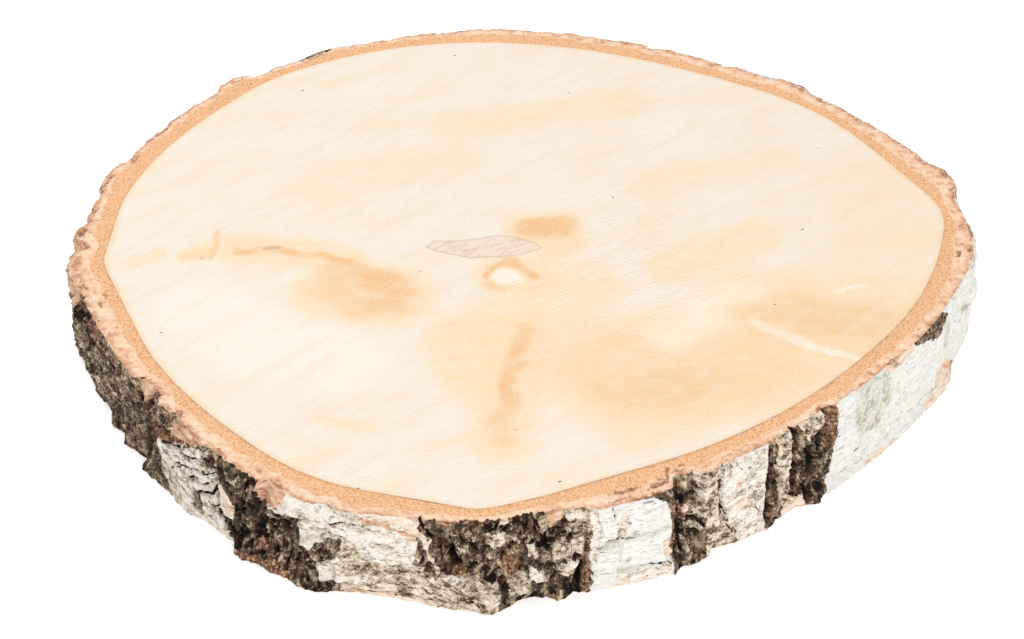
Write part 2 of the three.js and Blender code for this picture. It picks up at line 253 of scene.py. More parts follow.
# Patches of the bark's face: what shows there, how far it stands out, and its outline as
# (angle, height) points. A height over the thickness is on the sawn face, in from the rim.
PATCHES = [
    ("paper", 0.0, [(318.8, 30), (319, 16), (317.6, 8), (315.8, -3), (372, -3), (372, 30)]),
    ("algae", 0.0, [(323, 26.5), (330.5, 26.5), (331, 15), (329, 9), (324, 10.5), (322.6, 18)]),
    ("peach", 0.0, [(158, 30), (160, 20), (170, 14), (178, 14), (184, 17), (190, 22), (191, 28)]),
    ("rust", 0.0, [(172, 27), (173, 18), (176, 14), (178, 18), (177, 26)]),
    ("rust", 0.0, [(180, 17), (184, 18), (187, 21), (189, 20), (186, 16), (181, 13.5)]),
    # Painted shade over a sunken hole in the bark.
    ("black", -0.6, [(188, 18.5), (190.5, 22), (193, 26), (194.5, 26), (193, 21.5), (191, 18.5)]),
    ("rust", 0.0, [(194.6, 25), (197.6, 28), (199, 28), (197.4, 22), (195, 19)]),
    ("peach", 0.0, [(210.8, 28), (211.2, 21.5), (213, 22.5), (214.6, 28)]),
    ("rust", 0.0, [
        (213.4, 19.5), (215, 20.5), (220.5, 21.5), (220, 18), (216.5, 15), (215, 9), (213.8, 10),
    ]),
    ("peach", 0.0, [(220.5, 23.5), (222, 28), (229, 28), (227.5, 26.6), (222.5, 22), (219.5, 19)]),
    ("rust", 0.0, [(219.8, 21), (222.4, 22.6), (222.6, 20.8), (220, 18.6), (218.6, 18.4)]),
    ("worn", 0.5, [
        (215.5, 14.5), (218, 16.7), (220, 17.3), (222, 20), (226, 24.6), (228.5, 26.4), (229, 24),
        (227.4, 23), (229.2, 21), (229.6, 17.5), (230.4, 13), (229.6, 9), (230.4, 6), (231.5, 5),
        (231.2, -3), (219.3, -3), (218, 3.5), (219.3, 7.5), (217.2, 9.5), (216, 12),
    ]),
    ("mottled", 0.0, [(216, 12), (217.5, 9.5), (219.8, 9), (220.2, 5), (218.4, 3.5), (215.6, 6)]),
    ("cream", 0.4, [(229.9, 19.8), (231.2, 18.6), (232.9, 16.2), (233, 10.4), (231.2, 10.2), (230.3, 14)]),
    ("rust", 0.0, [(231.8, 1.6), (236, 3), (239.5, 3.4), (241.5, 1.5), (240, -3), (231.8, -3)]),
    ("peach", 0.3, [(236.8, 28), (237, 21.6), (238.6, 19.2), (240.8, 23.4), (241.8, 28)]),
    ("worn", 0.5, [
        (238.4, 19.8), (240.8, 24.4), (241.6, 29.5), (246, 29.5), (245, 24.6), (243.6, 22.4),
        (241.4, 21.5), (240, 20.4),
    ]),
    ("worn", 0.6, [
        (244.6, 27.6), (243.4, 21.5), (242.2, 16), (242.8, 13.2), (244.2, 13.4), (245, 15.6),
        (246.6, 16.4), (248.3, 19.4), (249, 14), (249, 10), (257, 11.5), (257, 17),
        (257, 26), (252, 29.5), (246, 29.5),
    ]),
    ("mottled", 0.3, [
        (248.4, 19.2), (247.6, 12.6), (248.4, 7), (247.6, 3.5), (248, -3), (259.6, -3),
        (259.4, 5), (259.6, 9), (257.4, 12.5), (257.4, 16), (256, 12.4), (252.5, 12.2),
        (250.5, 13.6), (249.6, 18.6),
    ]),
    ("worn", 0.5, [(247.8, 12.8), (245.6, 9.8), (244.4, 6.6), (245.2, 3), (247.8, 3.4), (248.6, 8)]),
    ("cream", 0.3, [(243, 29.5), (247, 27.2), (251, 26.6), (255, 24.8), (257.4, 22.4), (257.4, 29.5)]),
    ("peach", 0.2, [(249.6, 25.6), (253, 25.4), (256.4, 22.6), (257.4, 21.4), (253.6, 23.8)]),
    ("mottled", 0.5, [
        (259.3, 12.4), (262, 11), (264.4, 11.4), (264.6, 8.8), (266.4, 7.8), (267, 4),
        (266.3, -3), (259.6, -3), (259.4, 5),
    ]),
    ("peach", 0.0, [(258.9, 28), (259.2, 25.6), (262, 26.2), (262.4, 28)]),
    ("peach", 0.0, [(272.2, 28), (272.6, 25.2), (274.6, 24.8), (275, 28)]),
    ("rust", -0.4, [(267, 14.6), (267.3, 10), (268.4, 8.4), (269.1, 11), (268.7, 15.4)]),
    ("mottled", 0.3, [(274.6, 28), (274.8, 22), (276, 20.5), (277.6, 22.5), (278.2, 28)]),
    ("mottled", 0.8, [
        (273, 16), (273.6, 19.4), (274.7, 20.8), (275.4, 17), (276.6, 14.6), (275.4, 13), (273.5, 13.6),
    ]),
    ("mottled", 1.0, [
        (273.2, 11.4), (274.4, 13.4), (276.2, 12.6), (276.5, 10.2), (275.2, 8.8), (273.8, 9.6),
    ]),
    ("worn", 0.2, [(269.9, 12.2), (271.2, 11.4), (272.6, 6.4), (271.6, 5.6), (270.6, 8.4)]),
    ("mottled", 0.2, [(267.8, 8), (269.8, 9.4), (270.4, 5), (269.4, 1.6), (267.8, 3)]),
    ("mottled", 0.0, [(276, 27), (277.6, 27), (277.8, 20), (277.2, 12), (276, 14), (275.6, 20)]),
    ("rust", 0.0, [(277, 20), (277.8, 20), (278.1, 10), (278, -3), (277.2, -3), (277, 8)]),
    ("paper", 0.6, [
        (277.8, 26.4), (278.8, 27.4), (285, 27.6), (286.4, 26), (288, 24.2), (288.8, 20),
        (289, 14), (288.4, 11), (288.6, 7), (289.5, 4), (289.2, -3), (278.2, -3), (278.3, 8),
        (277.8, 13), (278.3, 18),
    ]),
    ("cream", 0.0, [(287.4, 12.4), (288.2, 13), (289.4, 9), (289.4, 6.6), (287.8, 7.4)]),
    ("rust", 0.0, [(288.4, 25), (289.6, 22), (290.1, 12), (289.8, 6), (288.9, 9), (288.9, 16)]),
    ("rust", 0.0, [(290.2, 15.4), (290.8, 18.4), (292.2, 18.8), (292, 16.8), (290.9, 15)]),
    ("cream", 0.2, [(290.8, 17), (291.4, 18.2), (292, 18.2), (291.4, 16.8)]),
    ("mottled", 0.5, [(292, 18.6), (293, 17.4), (294.8, 14), (294.4, 13.4), (292.6, 15.6)]),
    ("mottled", 0.5, [(291, 13.8), (292.2, 12.8), (294.2, 10.2), (293.6, 9.8), (291.6, 11.8)]),
    ("mottled", 0.4, [
        (292.2, 29.5), (293, 24), (293.2, 19), (294.4, 13), (294.7, 6), (295.2, -3), (300, -3),
        (299.4, 4.6), (297.6, 10), (296.5, 14), (296.4, 22), (297.6, 29.5),
    ]),
    ("worn", 0.3, [
        (297.2, 29), (296.5, 22), (296.7, 14), (298, 9.6), (299.8, 4), (300, -3), (304.6, -3),
        (305, 9), (304.6, 16), (305, 29),
    ]),
    ("mottled", 0.2, [
        (306.4, 28), (306.4, 20), (307, 12), (307.6, 6), (309.2, 6), (309.2, 18), (309.4, 28),
    ]),
    ("cream", 0.0, [(306.3, 26.6), (307, 26.8), (307.2, 24), (306.7, 22)]),
    ("mottled", 0.0, [(311, 28.6), (311.4, 24), (312.8, 22), (315, 21.4), (316, 24), (316, 28.6)]),
    ("cream", 0.3, [(308.2, 4.6), (309.6, 5.6), (312.2, 4.2), (312.8, -3), (308, -3)]),
    ("rust", 0.0, [(316, 28), (316.2, 15), (317.8, 14), (318.9, 17), (318.8, 23), (318, 28)]),
    ("cream", 0.0, [(329, 28), (329.4, 25), (333, 24.4), (337, 25.8), (337.4, 28)]),
    ("crag", 0.3, [
        (336.4, 27.4), (337, 25), (340, 23.4), (343, 20.4), (345, 21), (346.4, 24), (344.6, 27.4),
    ]),
    ("cream", 0.0, [(325, 1.6), (328, 2.2), (331.5, 1.2), (331, -3), (325.4, -3)]),
    ("cream", 0.2, [(340, 2.4), (344, 4), (346, 8), (348.4, 7), (353, -1), (352, -3), (341, -3)]),
    ("peach", 0.2, [(346.8, 6.4), (349, 5.4), (352.6, -1), (350, -1), (348.6, 2.4)]),
    ("cream", 0.0, [(248, 1.4), (253, 2.2), (259.4, 1.2), (259, -3), (248, -3)]),
    ("cream", 0.0, [(280.4, 1.2), (287, 2.2), (289.2, 2), (289, -3), (280, -3)]),
    ("algae", 0.0, [(279.4, 17), (284, 17.2), (288.4, 17), (288.4, 15.8), (283, 15.4), (279.6, 14.6)]),
    ("algae", 0.0, [(281.6, 7), (285, 6.8), (288.6, 5.6), (288.4, 4.6), (284, 5.2), (281.6, 5)]),
    ("algae", 0.0, [(300.6, 26), (302, 25), (302.6, 19), (301.6, 18), (300.8, 21)]),
    ("worn", 0.0, [(278, 27), (279, 27), (279.4, 19), (278.6, 10), (278.2, 14)]),
    ("worn", 0.0, [(281.8, 26), (282.6, 25), (282.8, 19), (282, 14), (281.5, 18)]),
    ("worn", 0.0, [(280.6, 4.4), (286, 5.4), (289, 4.2), (289, 1), (284, 0.6)]),
    ("rust", 0.0, [(362.4, 23.4), (364.4, 22.8), (368, 15), (367.4, 12.6), (364.6, 17)]),
    ("algae", 0.0, [(351, 19.4), (353.4, 18.6), (357, 13), (355.8, 12), (352.6, 15.6)]),
    ("algae", 0.0, [(346, 22), (347.6, 21), (348, 12), (346.8, 11), (346.4, 16)]),
    ("mottled", 0.2, [(265.4, 24.4), (267.4, 24), (267.6, 20.6), (266, 19.6), (265.2, 21.6)]),
    ("mottled", 0.2, [(270, 19.4), (271, 19.2), (271.2, 15.4), (270.2, 15)]),
    ("mottled", 0.2, [(291, 8.6), (292.2, 8), (292, 5.8), (291, 6)]),
    ("cream", 0.9, [(257.4, 22.6), (258.2, 20.6), (259, 16.6), (259.9, 12.4), (259.2, 13), (258.4, 16)]),
    ("cream", 0.6, [(255.6, 24.6), (257.4, 23.4), (259, 21.2), (258.8, 20.4), (256.8, 22.2)]),
    ("mottled", 0.0, [(217.4, 5), (219, 8), (221.6, 6), (221.8, 2), (219.6, -2)]),
    ("crag", 0.0, [(224.2, 10), (225.4, 10.8), (226.4, 7.6), (226.2, 4), (224.6, 4.4)]),
    ("crag", 0.2, [(227, 24), (228.6, 25.6), (229.6, 24), (229.6, 21.4), (227.8, 22)]),
    ("rust", 0.0, [(236.4, 8.4), (237.4, 9), (238, 6.6), (237, 5.4), (236.2, 6.4)]),
    ("cream", 0.0, [(299.2, 21), (300.4, 21.4), (300.8, 18.6), (299.6, 17.6)]),
    ("cream", 0.0, [(299.6, 13.6), (300.8, 14.8), (301, 11.6), (299.8, 10.6), (298.6, 10.6)]),
    ("cream", 0.2, [(297, 9.6), (298.4, 8.4), (299.2, 5.4), (298, 6.4)]),
    ("mottled", 0.0, [(201, 12.6), (203.4, 12), (205.4, 10.8), (203, 10.6)]),
    ("mottled", 0.0, [(193.6, 5), (196, 8.4), (198, 8), (195.6, 4.4)]),
    ("cream", 0.3, [(266.6, 28), (267.6, 28), (267.8, 26), (266.8, 25.6)]),
    ("rust", 0.0, [(260.4, 13), (262.4, 13.4), (264, 11.6), (262, 10.8)]),
]
# Width over which a patch turns into what lies round it, and how far its edge wanders.
PATCH_EDGE = 0.9
SOFT_EDGE = 2.6
PATCH_WANDER = 0.8

# Cracks: half width, depth and the (angle, height) points that each one runs through.
CRACKS = [
    (0.78, 1.6, [(221.5, 15.5), (221.8, 12), (223, 10.4), (224, 7.6), (224.2, 3.5)]),
    (0.32, 0.7, [(222, 14.2), (225, 16.6), (229.4, 20.8)]),
    (0.58, 1, [(225.2, 9.6), (227, 12), (228.8, 13.6), (229.4, 16.4)]),
    (0.37, 0.8, [(223.4, 11.6), (225, 14.4), (226, 15)]),
    (0.53, 1, [(225.4, 10), (225.6, 7), (226, 4)]),
    (0.32, 0.7, [(226.6, 7.8), (228.6, 9.6), (230.2, 11.2)]),
    (0.25, 0.6, [(217.5, 12.4), (219.4, 14), (221.4, 16)]),
    (0.25, 0.6, [(219.5, 10), (221, 12.2), (222, 12.6)]),
    (0.25, 0.5, [(221, 20.4), (223.4, 21.6), (225.6, 22.8)]),
    (0.28, 0.9, [(240.2, 20.9), (242, 22), (244.4, 22.6)]),
    (0.19, 0.6, [(245.4, 17), (246.6, 18.6), (248, 19.6)]),
    (0.15, 0.5, [(249.8, 22.6), (251.2, 22), (252.6, 21)]),
    (0.12, 0.4, [(250.2, 14.4), (251, 14.6), (252.2, 14.2)]),
    (0.12, 0.4, [(246, 21.4), (247.4, 22), (248.6, 21.6)]),
    (0.5, 1.4, [(257.4, 26.4), (258, 24.4), (258.8, 22)]),
    (0.22, 0.8, [(257.4, 9.6), (258.6, 7.8), (259.8, 6.6)]),
    (0.22, 0.8, [(257.6, 6), (258.6, 4), (260, 2.4)]),
    (0.19, 0.6, [(261, 7), (262.4, 5), (264, 3)]),
    (0.12, 0.5, [(260, 9.8), (262.4, 6.4)]),
    (0.12, 0.5, [(261.6, 10.4), (264.2, 7)]),
    (0.12, 0.5, [(262.8, 5.4), (264.6, 2)]),
    (0.31, 1.2, [(270.8, 26), (272.2, 22.6), (272.2, 19.6), (271.4, 17)]),
    (0.28, 1, [(274.2, 14.2), (275.4, 13.4), (276.6, 13)]),
    (0.43, 1.6, [(276.7, 11), (276.6, 6), (276.4, 2)]),
    (0.12, 0.45, [(280.6, 27), (281, 23), (281.7, 20), (281.4, 16.6)]),
    (0.12, 0.35, [(281.5, 15), (282, 12), (281.6, 8)]),
    (0.2, 0.6, [(279.2, 14.8), (280, 16.2), (281.6, 16.2)]),
    (0.1, 0.35, [(281.6, 16.2), (285, 16.6), (288, 16.2)]),
    (0.12, 0.4, [(281.8, 6.2), (285, 6)]),
    (0.2, 0.8, [(285, 6), (287, 5.4), (289, 4.6)]),
    (0.12, 0.3, [(283.4, 22), (285.4, 23.2), (287.4, 24)]),
    (0.12, 0.3, [(278.6, 19.4), (280, 20)]),
    (0.5, 1.4, [(291.4, 15.4), (292.4, 14.2), (293.6, 12.4), (294.2, 10.6)]),
    (0.37, 1.4, [(290.6, 12.4), (290.8, 9.4), (291.2, 4)]),
    (0.25, 0.8, [(297, 14.2), (297.6, 12), (298, 10.6)]),
    (0.25, 0.8, [(298, 8), (298.6, 6), (299.2, 4)]),
    (0.4, 0.8, [(217.6, 15.8), (219.6, 17.6), (221.4, 18.8)]),
    (0.35, 0.8, [(221.6, 19), (223.6, 18.8), (226.4, 21.6), (228.4, 23.4)]),
    (0.3, 0.7, [(219.2, 6.4), (220.6, 8.6), (222.4, 9.4)]),
    (0.3, 0.7, [(225, 17.2), (226.6, 17.4), (228.2, 18.8)]),
    (0.3, 0.7, [(226.4, 4.6), (228, 5.4), (229.8, 7.4)]),
    (0.35, 0.8, [(223.6, 12.6), (226.6, 13.6), (228.2, 16.4)]),
    (0.3, 0.6, [(217.6, 14.2), (219.4, 13.2), (221.2, 13.6)]),
    (0.25, 0.5, [(252, 18.6), (254, 18), (256, 18.6)]),
    (0.25, 0.5, [(247, 23.6), (249, 24), (251, 23.4)]),
    (0.1, 0.3, [(299.4, 25), (300.4, 23), (301.8, 22.4)]),
    (0.1, 0.3, [(301.8, 17), (302.6, 14), (302.4, 11)]),
    (0.15, 0.4, [(303, 9), (303.8, 6.6), (303.8, 4.4)]),
]

# Directions of the saw marks, of the broader bands and of the lines in the pocket, in degrees
# from +X, and the place from the pith round which the saw marks are boldest.
SAW_TURN = 24
BAND_TURN = 46
POCKET_TURN = 38
BOLDEST = (26, -14, 0)

# Tints of the marks in the wood, as screen colours.
WOOD_TINTS = {
    "tan": (235, 208, 169), "amber": (229, 178, 118), "brown": (172, 122, 84),
    "pale": (241, 232, 220),
}
# Marks in the wood: tint, strength, half width, softness and a route of (x, y) places from the
# pith.
WOOD_MARKS = [
    ("tan", 0.9, 15, 16, [(28, -58), (70, -42)]),
    ("tan", 0.7, 12, 12, [(62, -28), (96, -34)]),
    ("tan", 0.6, 5, 6, [(40, -9), (62, 5)]),
    ("tan", 0.6, 6, 8, [(30, -78), (62, -62)]),
    ("tan", 0.8, 8, 10, [(-14, -44), (-9, -58)]),
    ("tan", 0.6, 8, 10, [(14, -20), (-4, -34)]),
    ("tan", 0.5, 4, 8, [(-20, 62), (30, 76)]),
    ("tan", 0.4, 4, 8, [(34, 30), (70, 44)]),
    ("tan", 0.4, 4, 10, [(-60, 30), (-20, 46)]),
    ("tan", 0.6, 0.9, 2.4, [(-50, -75.5), (-40, -79.5)]),
    ("tan", 0.6, 1.4, 2.6, [(-106, -9), (-99, -2.6)]),
    ("tan", 1.0, 2.0, 2.2, [(-91, -3.6), (-86, -1.4)]),
    ("amber", 0.3, 0.6, 2.4, [(-91, -4.6), (-85, -4)]),
    ("amber", 0.7, 0.1, 1.1, [(-83.7, 8.1), (-84.3, 3.2), (-83.7, -1.9), (-84.5, -6.1)]),
    ("brown", 0.7, 0.2, 0.9, [(-86.4, -4.8), (-86.2, -4.8)]),
    ("tan", 0.8, 3.2, 6.0, [(-78, -1), (-62, -1), (-50, -6)]),
    ("amber", 0.8, 0.5, 1.8, [(-78, -2), (-68.5, -0.8), (-62.9, -2.8), (-54.8, -3.5), (-47, -8)]),
    ("brown", 0.9, 0.2, 0.9, [(-70, -0.4), (-67, -0.2)]),
    ("tan", 0.8, 10, 9, [(-48, -20), (-38, -23)]),
    ("amber", 0.5, 7, 7, [(-46, -18), (-38, -22)]),
    ("pale", 0.7, 8, 12, [(-84, -30), (-70, -44), (-50, -52)]),
    ("amber", 0.3, 1.4, 4, [(-52, -9.5), (-48.5, -8), (-41, -13.5), (-36.6, -16.7)]),
    ("amber", 0.7, 2.6, 5, [(-39, -16.6), (-35, -19)]),
    ("amber", 0.3, 2, 4, [(-44, -30), (-37, -28.4)]),
    ("tan", 1.0, 6, 5, [(2, 9), (8, 9)]),
    ("amber", 0.95, 3.2, 3.6, [(2, 9.6), (9, 10)]),
    ("amber", 0.85, 0.6, 1.6, [(0.5, 8), (2, 12), (6, 13.5), (10, 11.5), (11.4, 8)]),
    ("tan", 0.9, 2, 4, [(11.6, 8), (12, 2), (9, -3)]),
    ("tan", 0.8, 6, 6, [(-5, -13), (0, -14)]),
    ("amber", 0.25, 8, 14, [(16, -50), (38, -60), (58, -54)]),
    ("amber", 0.3, 3, 8, [(26, -66), (44, -60)]),
    ("amber", 0.4, 5, 10, [(66, -32), (94, -36)]),
    ("tan", 0.4, 8, 20, [(98, -8), (101, 30)]),
    ("amber", 0.9, 0.5, 1.4, [(-10, -14), (-8.6, -10.4), (-5, -8.9), (-1, -9.6), (1.4, -12.5)]),
    ("amber", 0.9, 1.2, 2.0, [(-3.4, -8.2), (-2.4, -8.4)]),
    ("amber", 0.5, 0.7, 1.6, [(-10.4, -17.4), (-8.5, -19.3), (-6, -19.8)]),
    ("pale", 0.8, 2.4, 1.6, [(-5.6, -14.2), (-4.4, -14.2)]),
    ("tan", 0.8, 4, 8, [(-2, -36), (-5, -64), (-6, -86)]),
    ("amber", 0.7, 0.8, 3.0, [(-0.1, -38), (-3.7, -57.6), (-5, -63.4), (-4, -68)]),
    ("amber", 0.5, 1.2, 4, [(-4, -68), (-7.2, -76), (-4.6, -84)]),
    ("amber", 0.9, 0.8, 1.8, [(-5.4, -62), (-4.6, -64)]),
    ("pale", 0.55, 2.4, 8, [(38, -40), (47, -33)]),
    ("pale", 0.5, 1.0, 7, [(46, -26), (60, -20)]),
    ("pale", 0.6, 0.9, 2.0, [(60, -35), (73.4, -44.1)]),
    ("pale", 0.8, 0.4, 1.0, [(73.4, -44.1), (85.1, -51.4)]),
    ("pale", 0.6, 0.2, 1.2, [(83.4, -19.5), (89.5, -19.5)]),
]

# Outline of the grey-pink pocket near the pith.
POCKET = [
    (-27, 0), (-24.5, 3), (-18.7, 3), (-13.1, 3.9), (-8.4, 5.4), (-2.7, 5.1), (2.6, 2.2),
    (4.6, -0.4), (-0.8, -3.5), (-6.4, -4.5), (-14.9, -5.1), (-22.5, -2.4),
]

# Colours of the bark from low values of its noise to high ones, as (value, red, green, blue).
CRAG = [
    (0.3, 26, 19, 14), (0.42, 70, 54, 42), (0.5, 113, 93, 75), (0.58, 153, 131, 107),
    (0.68, 196, 177, 149), (0.8, 226, 212, 189),
]
MOTTLED = [
    (0.34, 70, 55, 42), (0.42, 134, 114, 92), (0.49, 192, 172, 150), (0.57, 220, 206, 187),
    (0.68, 236, 228, 214),
]
WORN = [
    (0.32, 136, 118, 98), (0.4, 194, 178, 158), (0.47, 220, 208, 193), (0.56, 232, 223, 212),
    (0.68, 238, 233, 225),
]
PAPER = [
    (0.3, 132, 122, 110), (0.38, 190, 184, 174), (0.45, 215, 211, 203), (0.54, 228, 226, 221),
    (0.7, 235, 235, 233),
]
RUST = [
    (0.34, 36, 24, 18), (0.43, 88, 61, 47), (0.52, 130, 98, 77), (0.61, 172, 136, 109),
    (0.72, 216, 188, 162),
]
PEACH = [
    (0.34, 118, 80, 58), (0.42, 176, 130, 102), (0.49, 209, 166, 136), (0.58, 228, 192, 163),
    (0.7, 239, 216, 194),
]
CREAM = [
    (0.34, 150, 118, 94), (0.42, 206, 176, 150), (0.49, 226, 203, 181), (0.58, 236, 219, 202),
    (0.7, 241, 231, 219),
]
INNER_BARK = [
    (0.34, 204, 144, 98), (0.43, 224, 168, 121), (0.5, 234, 183, 138), (0.6, 240, 198, 158),
]
OUTER_BARK = [
    (0.34, 190, 138, 108), (0.42, 224, 178, 145), (0.5, 240, 200, 168), (0.6, 246, 217, 190),
]
# Colours of the painted shade in the cracks, the deep furrows and the hole.
HOLLOW_SHADE_TONES = [(0.4, 18, 13, 10), (0.55, 44, 35, 28), (0.68, 96, 82, 67)]


def lerp(low, high, share):
    """The value a share of the way from low to high."""
    return low + (high - low) * share


def smooth_step(value, low, high):
    """0 below low, 1 above high, and a smooth rise between."""
    share = np.clip((value - low) / (high - low), 0.0, 1.0)
    return share * share * (3.0 - 2.0 * share)


def between(value, rise, fall):
    """1 between a rise and a fall, each given by its ends, and 0 outside them."""
    return smooth_step(value, *rise) * (1 - smooth_step(value, *fall))


def hashed(cells, seed):
    """A fixed random number from -1 to 1 for each whole-numbered cell."""
    x, y, z = (cells[..., axis].astype(np.uint32) for axis in range(3))
    mixed = x * np.uint32(374761393) + y * np.uint32(668265263) + z * np.uint32(2246822519)
    mixed = mixed + np.uint32(seed * 3266489917 & 0xFFFFFFFF)
    mixed = (mixed ^ (mixed >> np.uint32(15))) * np.uint32(2246822519)
    mixed = (mixed ^ (mixed >> np.uint32(13))) * np.uint32(3266489917)
    mixed = mixed ^ (mixed >> np.uint32(16))
    return mixed.astype(np.float64) / 2147483647.5 - 1.0


def noise(points, seed):
    """Smooth noise, about -1 to 1, with features one unit across."""
    cells = np.floor(points).astype(np.int64)
    inside = points - cells
    ease = inside ** 3 * (inside * (inside * 6 - 15) + 10)
    total = np.zeros(len(points))
    for corner in np.ndindex(2, 2, 2):
        weight = np.prod(np.where(corner, ease, 1 - ease), axis=-1)
        away = inside - corner
        slope = sum(hashed(cells + corner, seed + axis) * away[:, axis] for axis in range(3))
        total += weight * slope
    return total * 1.4


def rough_noise(points, seed, octaves=4):
    """Noise with finer and fainter noise added to it."""
    total = np.zeros(len(points))
    for octave in range(octaves):
        total += 0.5 ** octave * noise(points * 2.03 ** octave, seed + 17 * octave)
    return total


def bend(points, size, seed):
    """Three noises at once, to shift points by."""
    return np.stack([noise(points / size, seed + axis) for axis in (0, 3, 6)], axis=-1)


def terraces(value, step):
    """The value in steps with short slopes between them, like layers that have flaked off."""
    whole = np.floor(value / step)
    return step * (whole + smooth_step(value / step - whole, 0.7, 1.0))


def round_pith(radii, angles, heights):
    """Points from their distance to the pith, their angle and their height."""
    turn = np.radians(angles)
    return np.stack([radii * np.cos(turn), radii * np.sin(turn), heights], axis=-1)


def outline_radius(outline, angles):
    """Radius at each angle on a smooth closed outline through (angle, radius) points."""
    table = np.array(outline, float)
    turned = (angles - table[0, 0]) % 360 + table[0, 0]
    index = np.searchsorted(table[:, 0], turned, side="right") - 1
    places, radii = [], []
    for step in (-1, 0, 1, 2):
        place, radius = table[(index + step) % len(table)].T
        places.append(place + 360.0 * ((index + step) // len(table)))
        radii.append(radius)
    span = places[2] - places[1]
    share = (turned - places[1]) / span
    leaving = (radii[2] - radii[0]) / (places[2] - places[0]) * span
    arriving = (radii[3] - radii[1]) / (places[3] - places[1]) * span
    bow = share * (1 - share) * ((1 - share) * leaving - share * arriving)
    return lerp(radii[1], radii[2], share * share * (3 - 2 * share)) + bow


def stretch_value(angles, key):
    """One value of the stretches at each angle, blended at their borders."""
    first, *others = STRETCHES
    turned = (angles - first["start"]) % 360 + first["start"]
    value = np.full(len(angles), float(first[key]))
    for stretch in (*others, {**first, "start": first["start"] + 360}):
        low, high = stretch["start"] - STRETCH_BLEND, stretch["start"] + STRETCH_BLEND
        value = lerp(value, stretch[key], smooth_step(turned, low, high))
    return value


def turn_between(start, angles):
    """Signed difference from one angle to others, from -180 to 180."""
    return (angles - start + 180) % 360 - 180


def segment_distance(x, y, start, end):
    """Distance of each point to a straight stretch."""
    along = np.array(end, float) - start
    length = max(along @ along, 1e-9)
    share = np.clip(((x - start[0]) * along[0] + (y - start[1]) * along[1]) / length, 0, 1)
    return np.hypot(x - start[0] - share * along[0], y - start[1] - share * along[1])


def path_distance(x, y, points):
    """Distance of each point to a path of straight stretches."""
    legs = zip(points[:-1], points[1:])
    return np.min([segment_distance(x, y, start, end) for start, end in legs], axis=0)


def polygon_depth(x, y, corners):
    """Distance to a polygon's edge in millimetres, positive inside and negative outside."""
    nearest = path_distance(x, y, np.concatenate([corners, corners[:1]]))
    inside = np.zeros(len(x), bool)
    for (x0, y0), (x1, y1) in zip(corners, np.roll(corners, -1, axis=0)):
        crosses = (y0 > y) != (y1 > y)
        rise = y1 - y0 if y1 != y0 else 1.0
        inside ^= crosses & (x < x0 + (y - y0) * (x1 - x0) / rise)
    return np.where(inside, nearest, -nearest)


def on_bark(measure, angles, heights, route, far):
    """A distance on the unrolled bark to a route or an outline, and a set one far from it."""
    points = np.array(route, float)
    middle = points[:, 0].mean()
    x = turn_between(middle, angles) * DEGREE
    points[:, 0] = (points[:, 0] - middle) * DEGREE
    near = np.abs(x) < np.abs(points[:, 0]).max() + 3
    result = np.full(len(x), far)
    result[near] = measure(x[near], heights[near], points)
    return result


def bark_places(angles, heights):
    """Places on the mean face of the bark, for noise without a seam."""
    return round_pith(outline_radius(BARK_FACE, angles), angles, heights)


def wood_radius(angles):
    """Edge of the wood, with the small teeth that the saw left in its softer border."""
    outline = outline_radius(WOOD_EDGE, angles)
    places = round_pith(outline, angles, 0 * angles)
    toothed = between(angles % 360, *TEETH)
    return outline + (0.08 + 0.34 * toothed) * rough_noise(places / 1.3, 111, octaves=2)


def wood_depth(x, y):
    """Distance in from the edge of the wood."""
    return wood_radius(np.degrees(np.arctan2(y, x))) - np.hypot(x, y)


def furrow_depth(angles, heights, sway):
    """Depth of the furrows, with sharp floors and wandering sides."""
    depth = np.zeros(len(angles))
    for top, foot, high, low, half, deepest in FURROWS:
        middle = lerp(top, foot, (THICKNESS - heights) / THICKNESS)
        aside = np.abs(turn_between(middle, angles) * DEGREE + sway)
        across = np.clip(1 - aside / half, 0, 1) ** 0.8
        ends = between(heights, (low - 2, low + 1), (high - 1, high + 2))
        depth = np.maximum(depth, deepest * across * ends)
    return depth


def bulge_height(angles, heights):
    """Height of the bulges less that of the hollows."""
    total = np.zeros(len(angles))
    for at, up, wide, tall, out in BULGES:
        x = turn_between(at, angles) * DEGREE / wide
        y = (heights - up) / tall
        fall = np.clip(1 - x * x - y * y, 0, None)
        total += out * fall * (2 - fall)
    return total


def patch_masks(angles, heights, wander):
    """How much each tint shows at each point, and how far the patches stand out."""
    masks = {tint: np.zeros(len(angles)) for tint in TINTS}
    lift = np.zeros(len(angles))
    for tint, out, outline in PATCHES:
        depth = on_bark(polygon_depth, angles, heights, outline, -FAR) + wander * PATCH_WANDER
        edge = SOFT_EDGE if tint == "algae" else PATCH_EDGE
        cover = smooth_step(depth, -edge, edge)
        for mask in masks.values():
            mask *= 1 - cover
        masks[tint] += cover
        lift = lerp(lift, out, smooth_step(depth, -0.3, 0.5))
    return masks, lift


def crack_masks(angles, heights, wander, breaks):
    """Depth of the cracks, and the painted shade laid in them by their depth, with breaks in them."""
    depth = np.zeros(len(angles))
    black = np.zeros(len(angles))
    for half, deepest, route in CRACKS:
        gap = on_bark(path_distance, angles, heights, route, FAR) + 0.25 * wander
        reach = half * (1 + 0.5 * wander)
        cut = 1 - smooth_step(gap, 0.25 * reach, reach + 0.25)
        depth = np.maximum(depth, deepest * cut)
        # Painted shade: the deeper the crack, the darker it is painted.
        dark = min(1.0, 0.3 + deepest)
        black = np.maximum(black, dark * (1 - smooth_step(gap, 0.3 * reach, reach + 0.15)))
    whole = np.maximum(breaks, smooth_step(depth, 0.7, 0.9))
    return depth * whole, black * whole


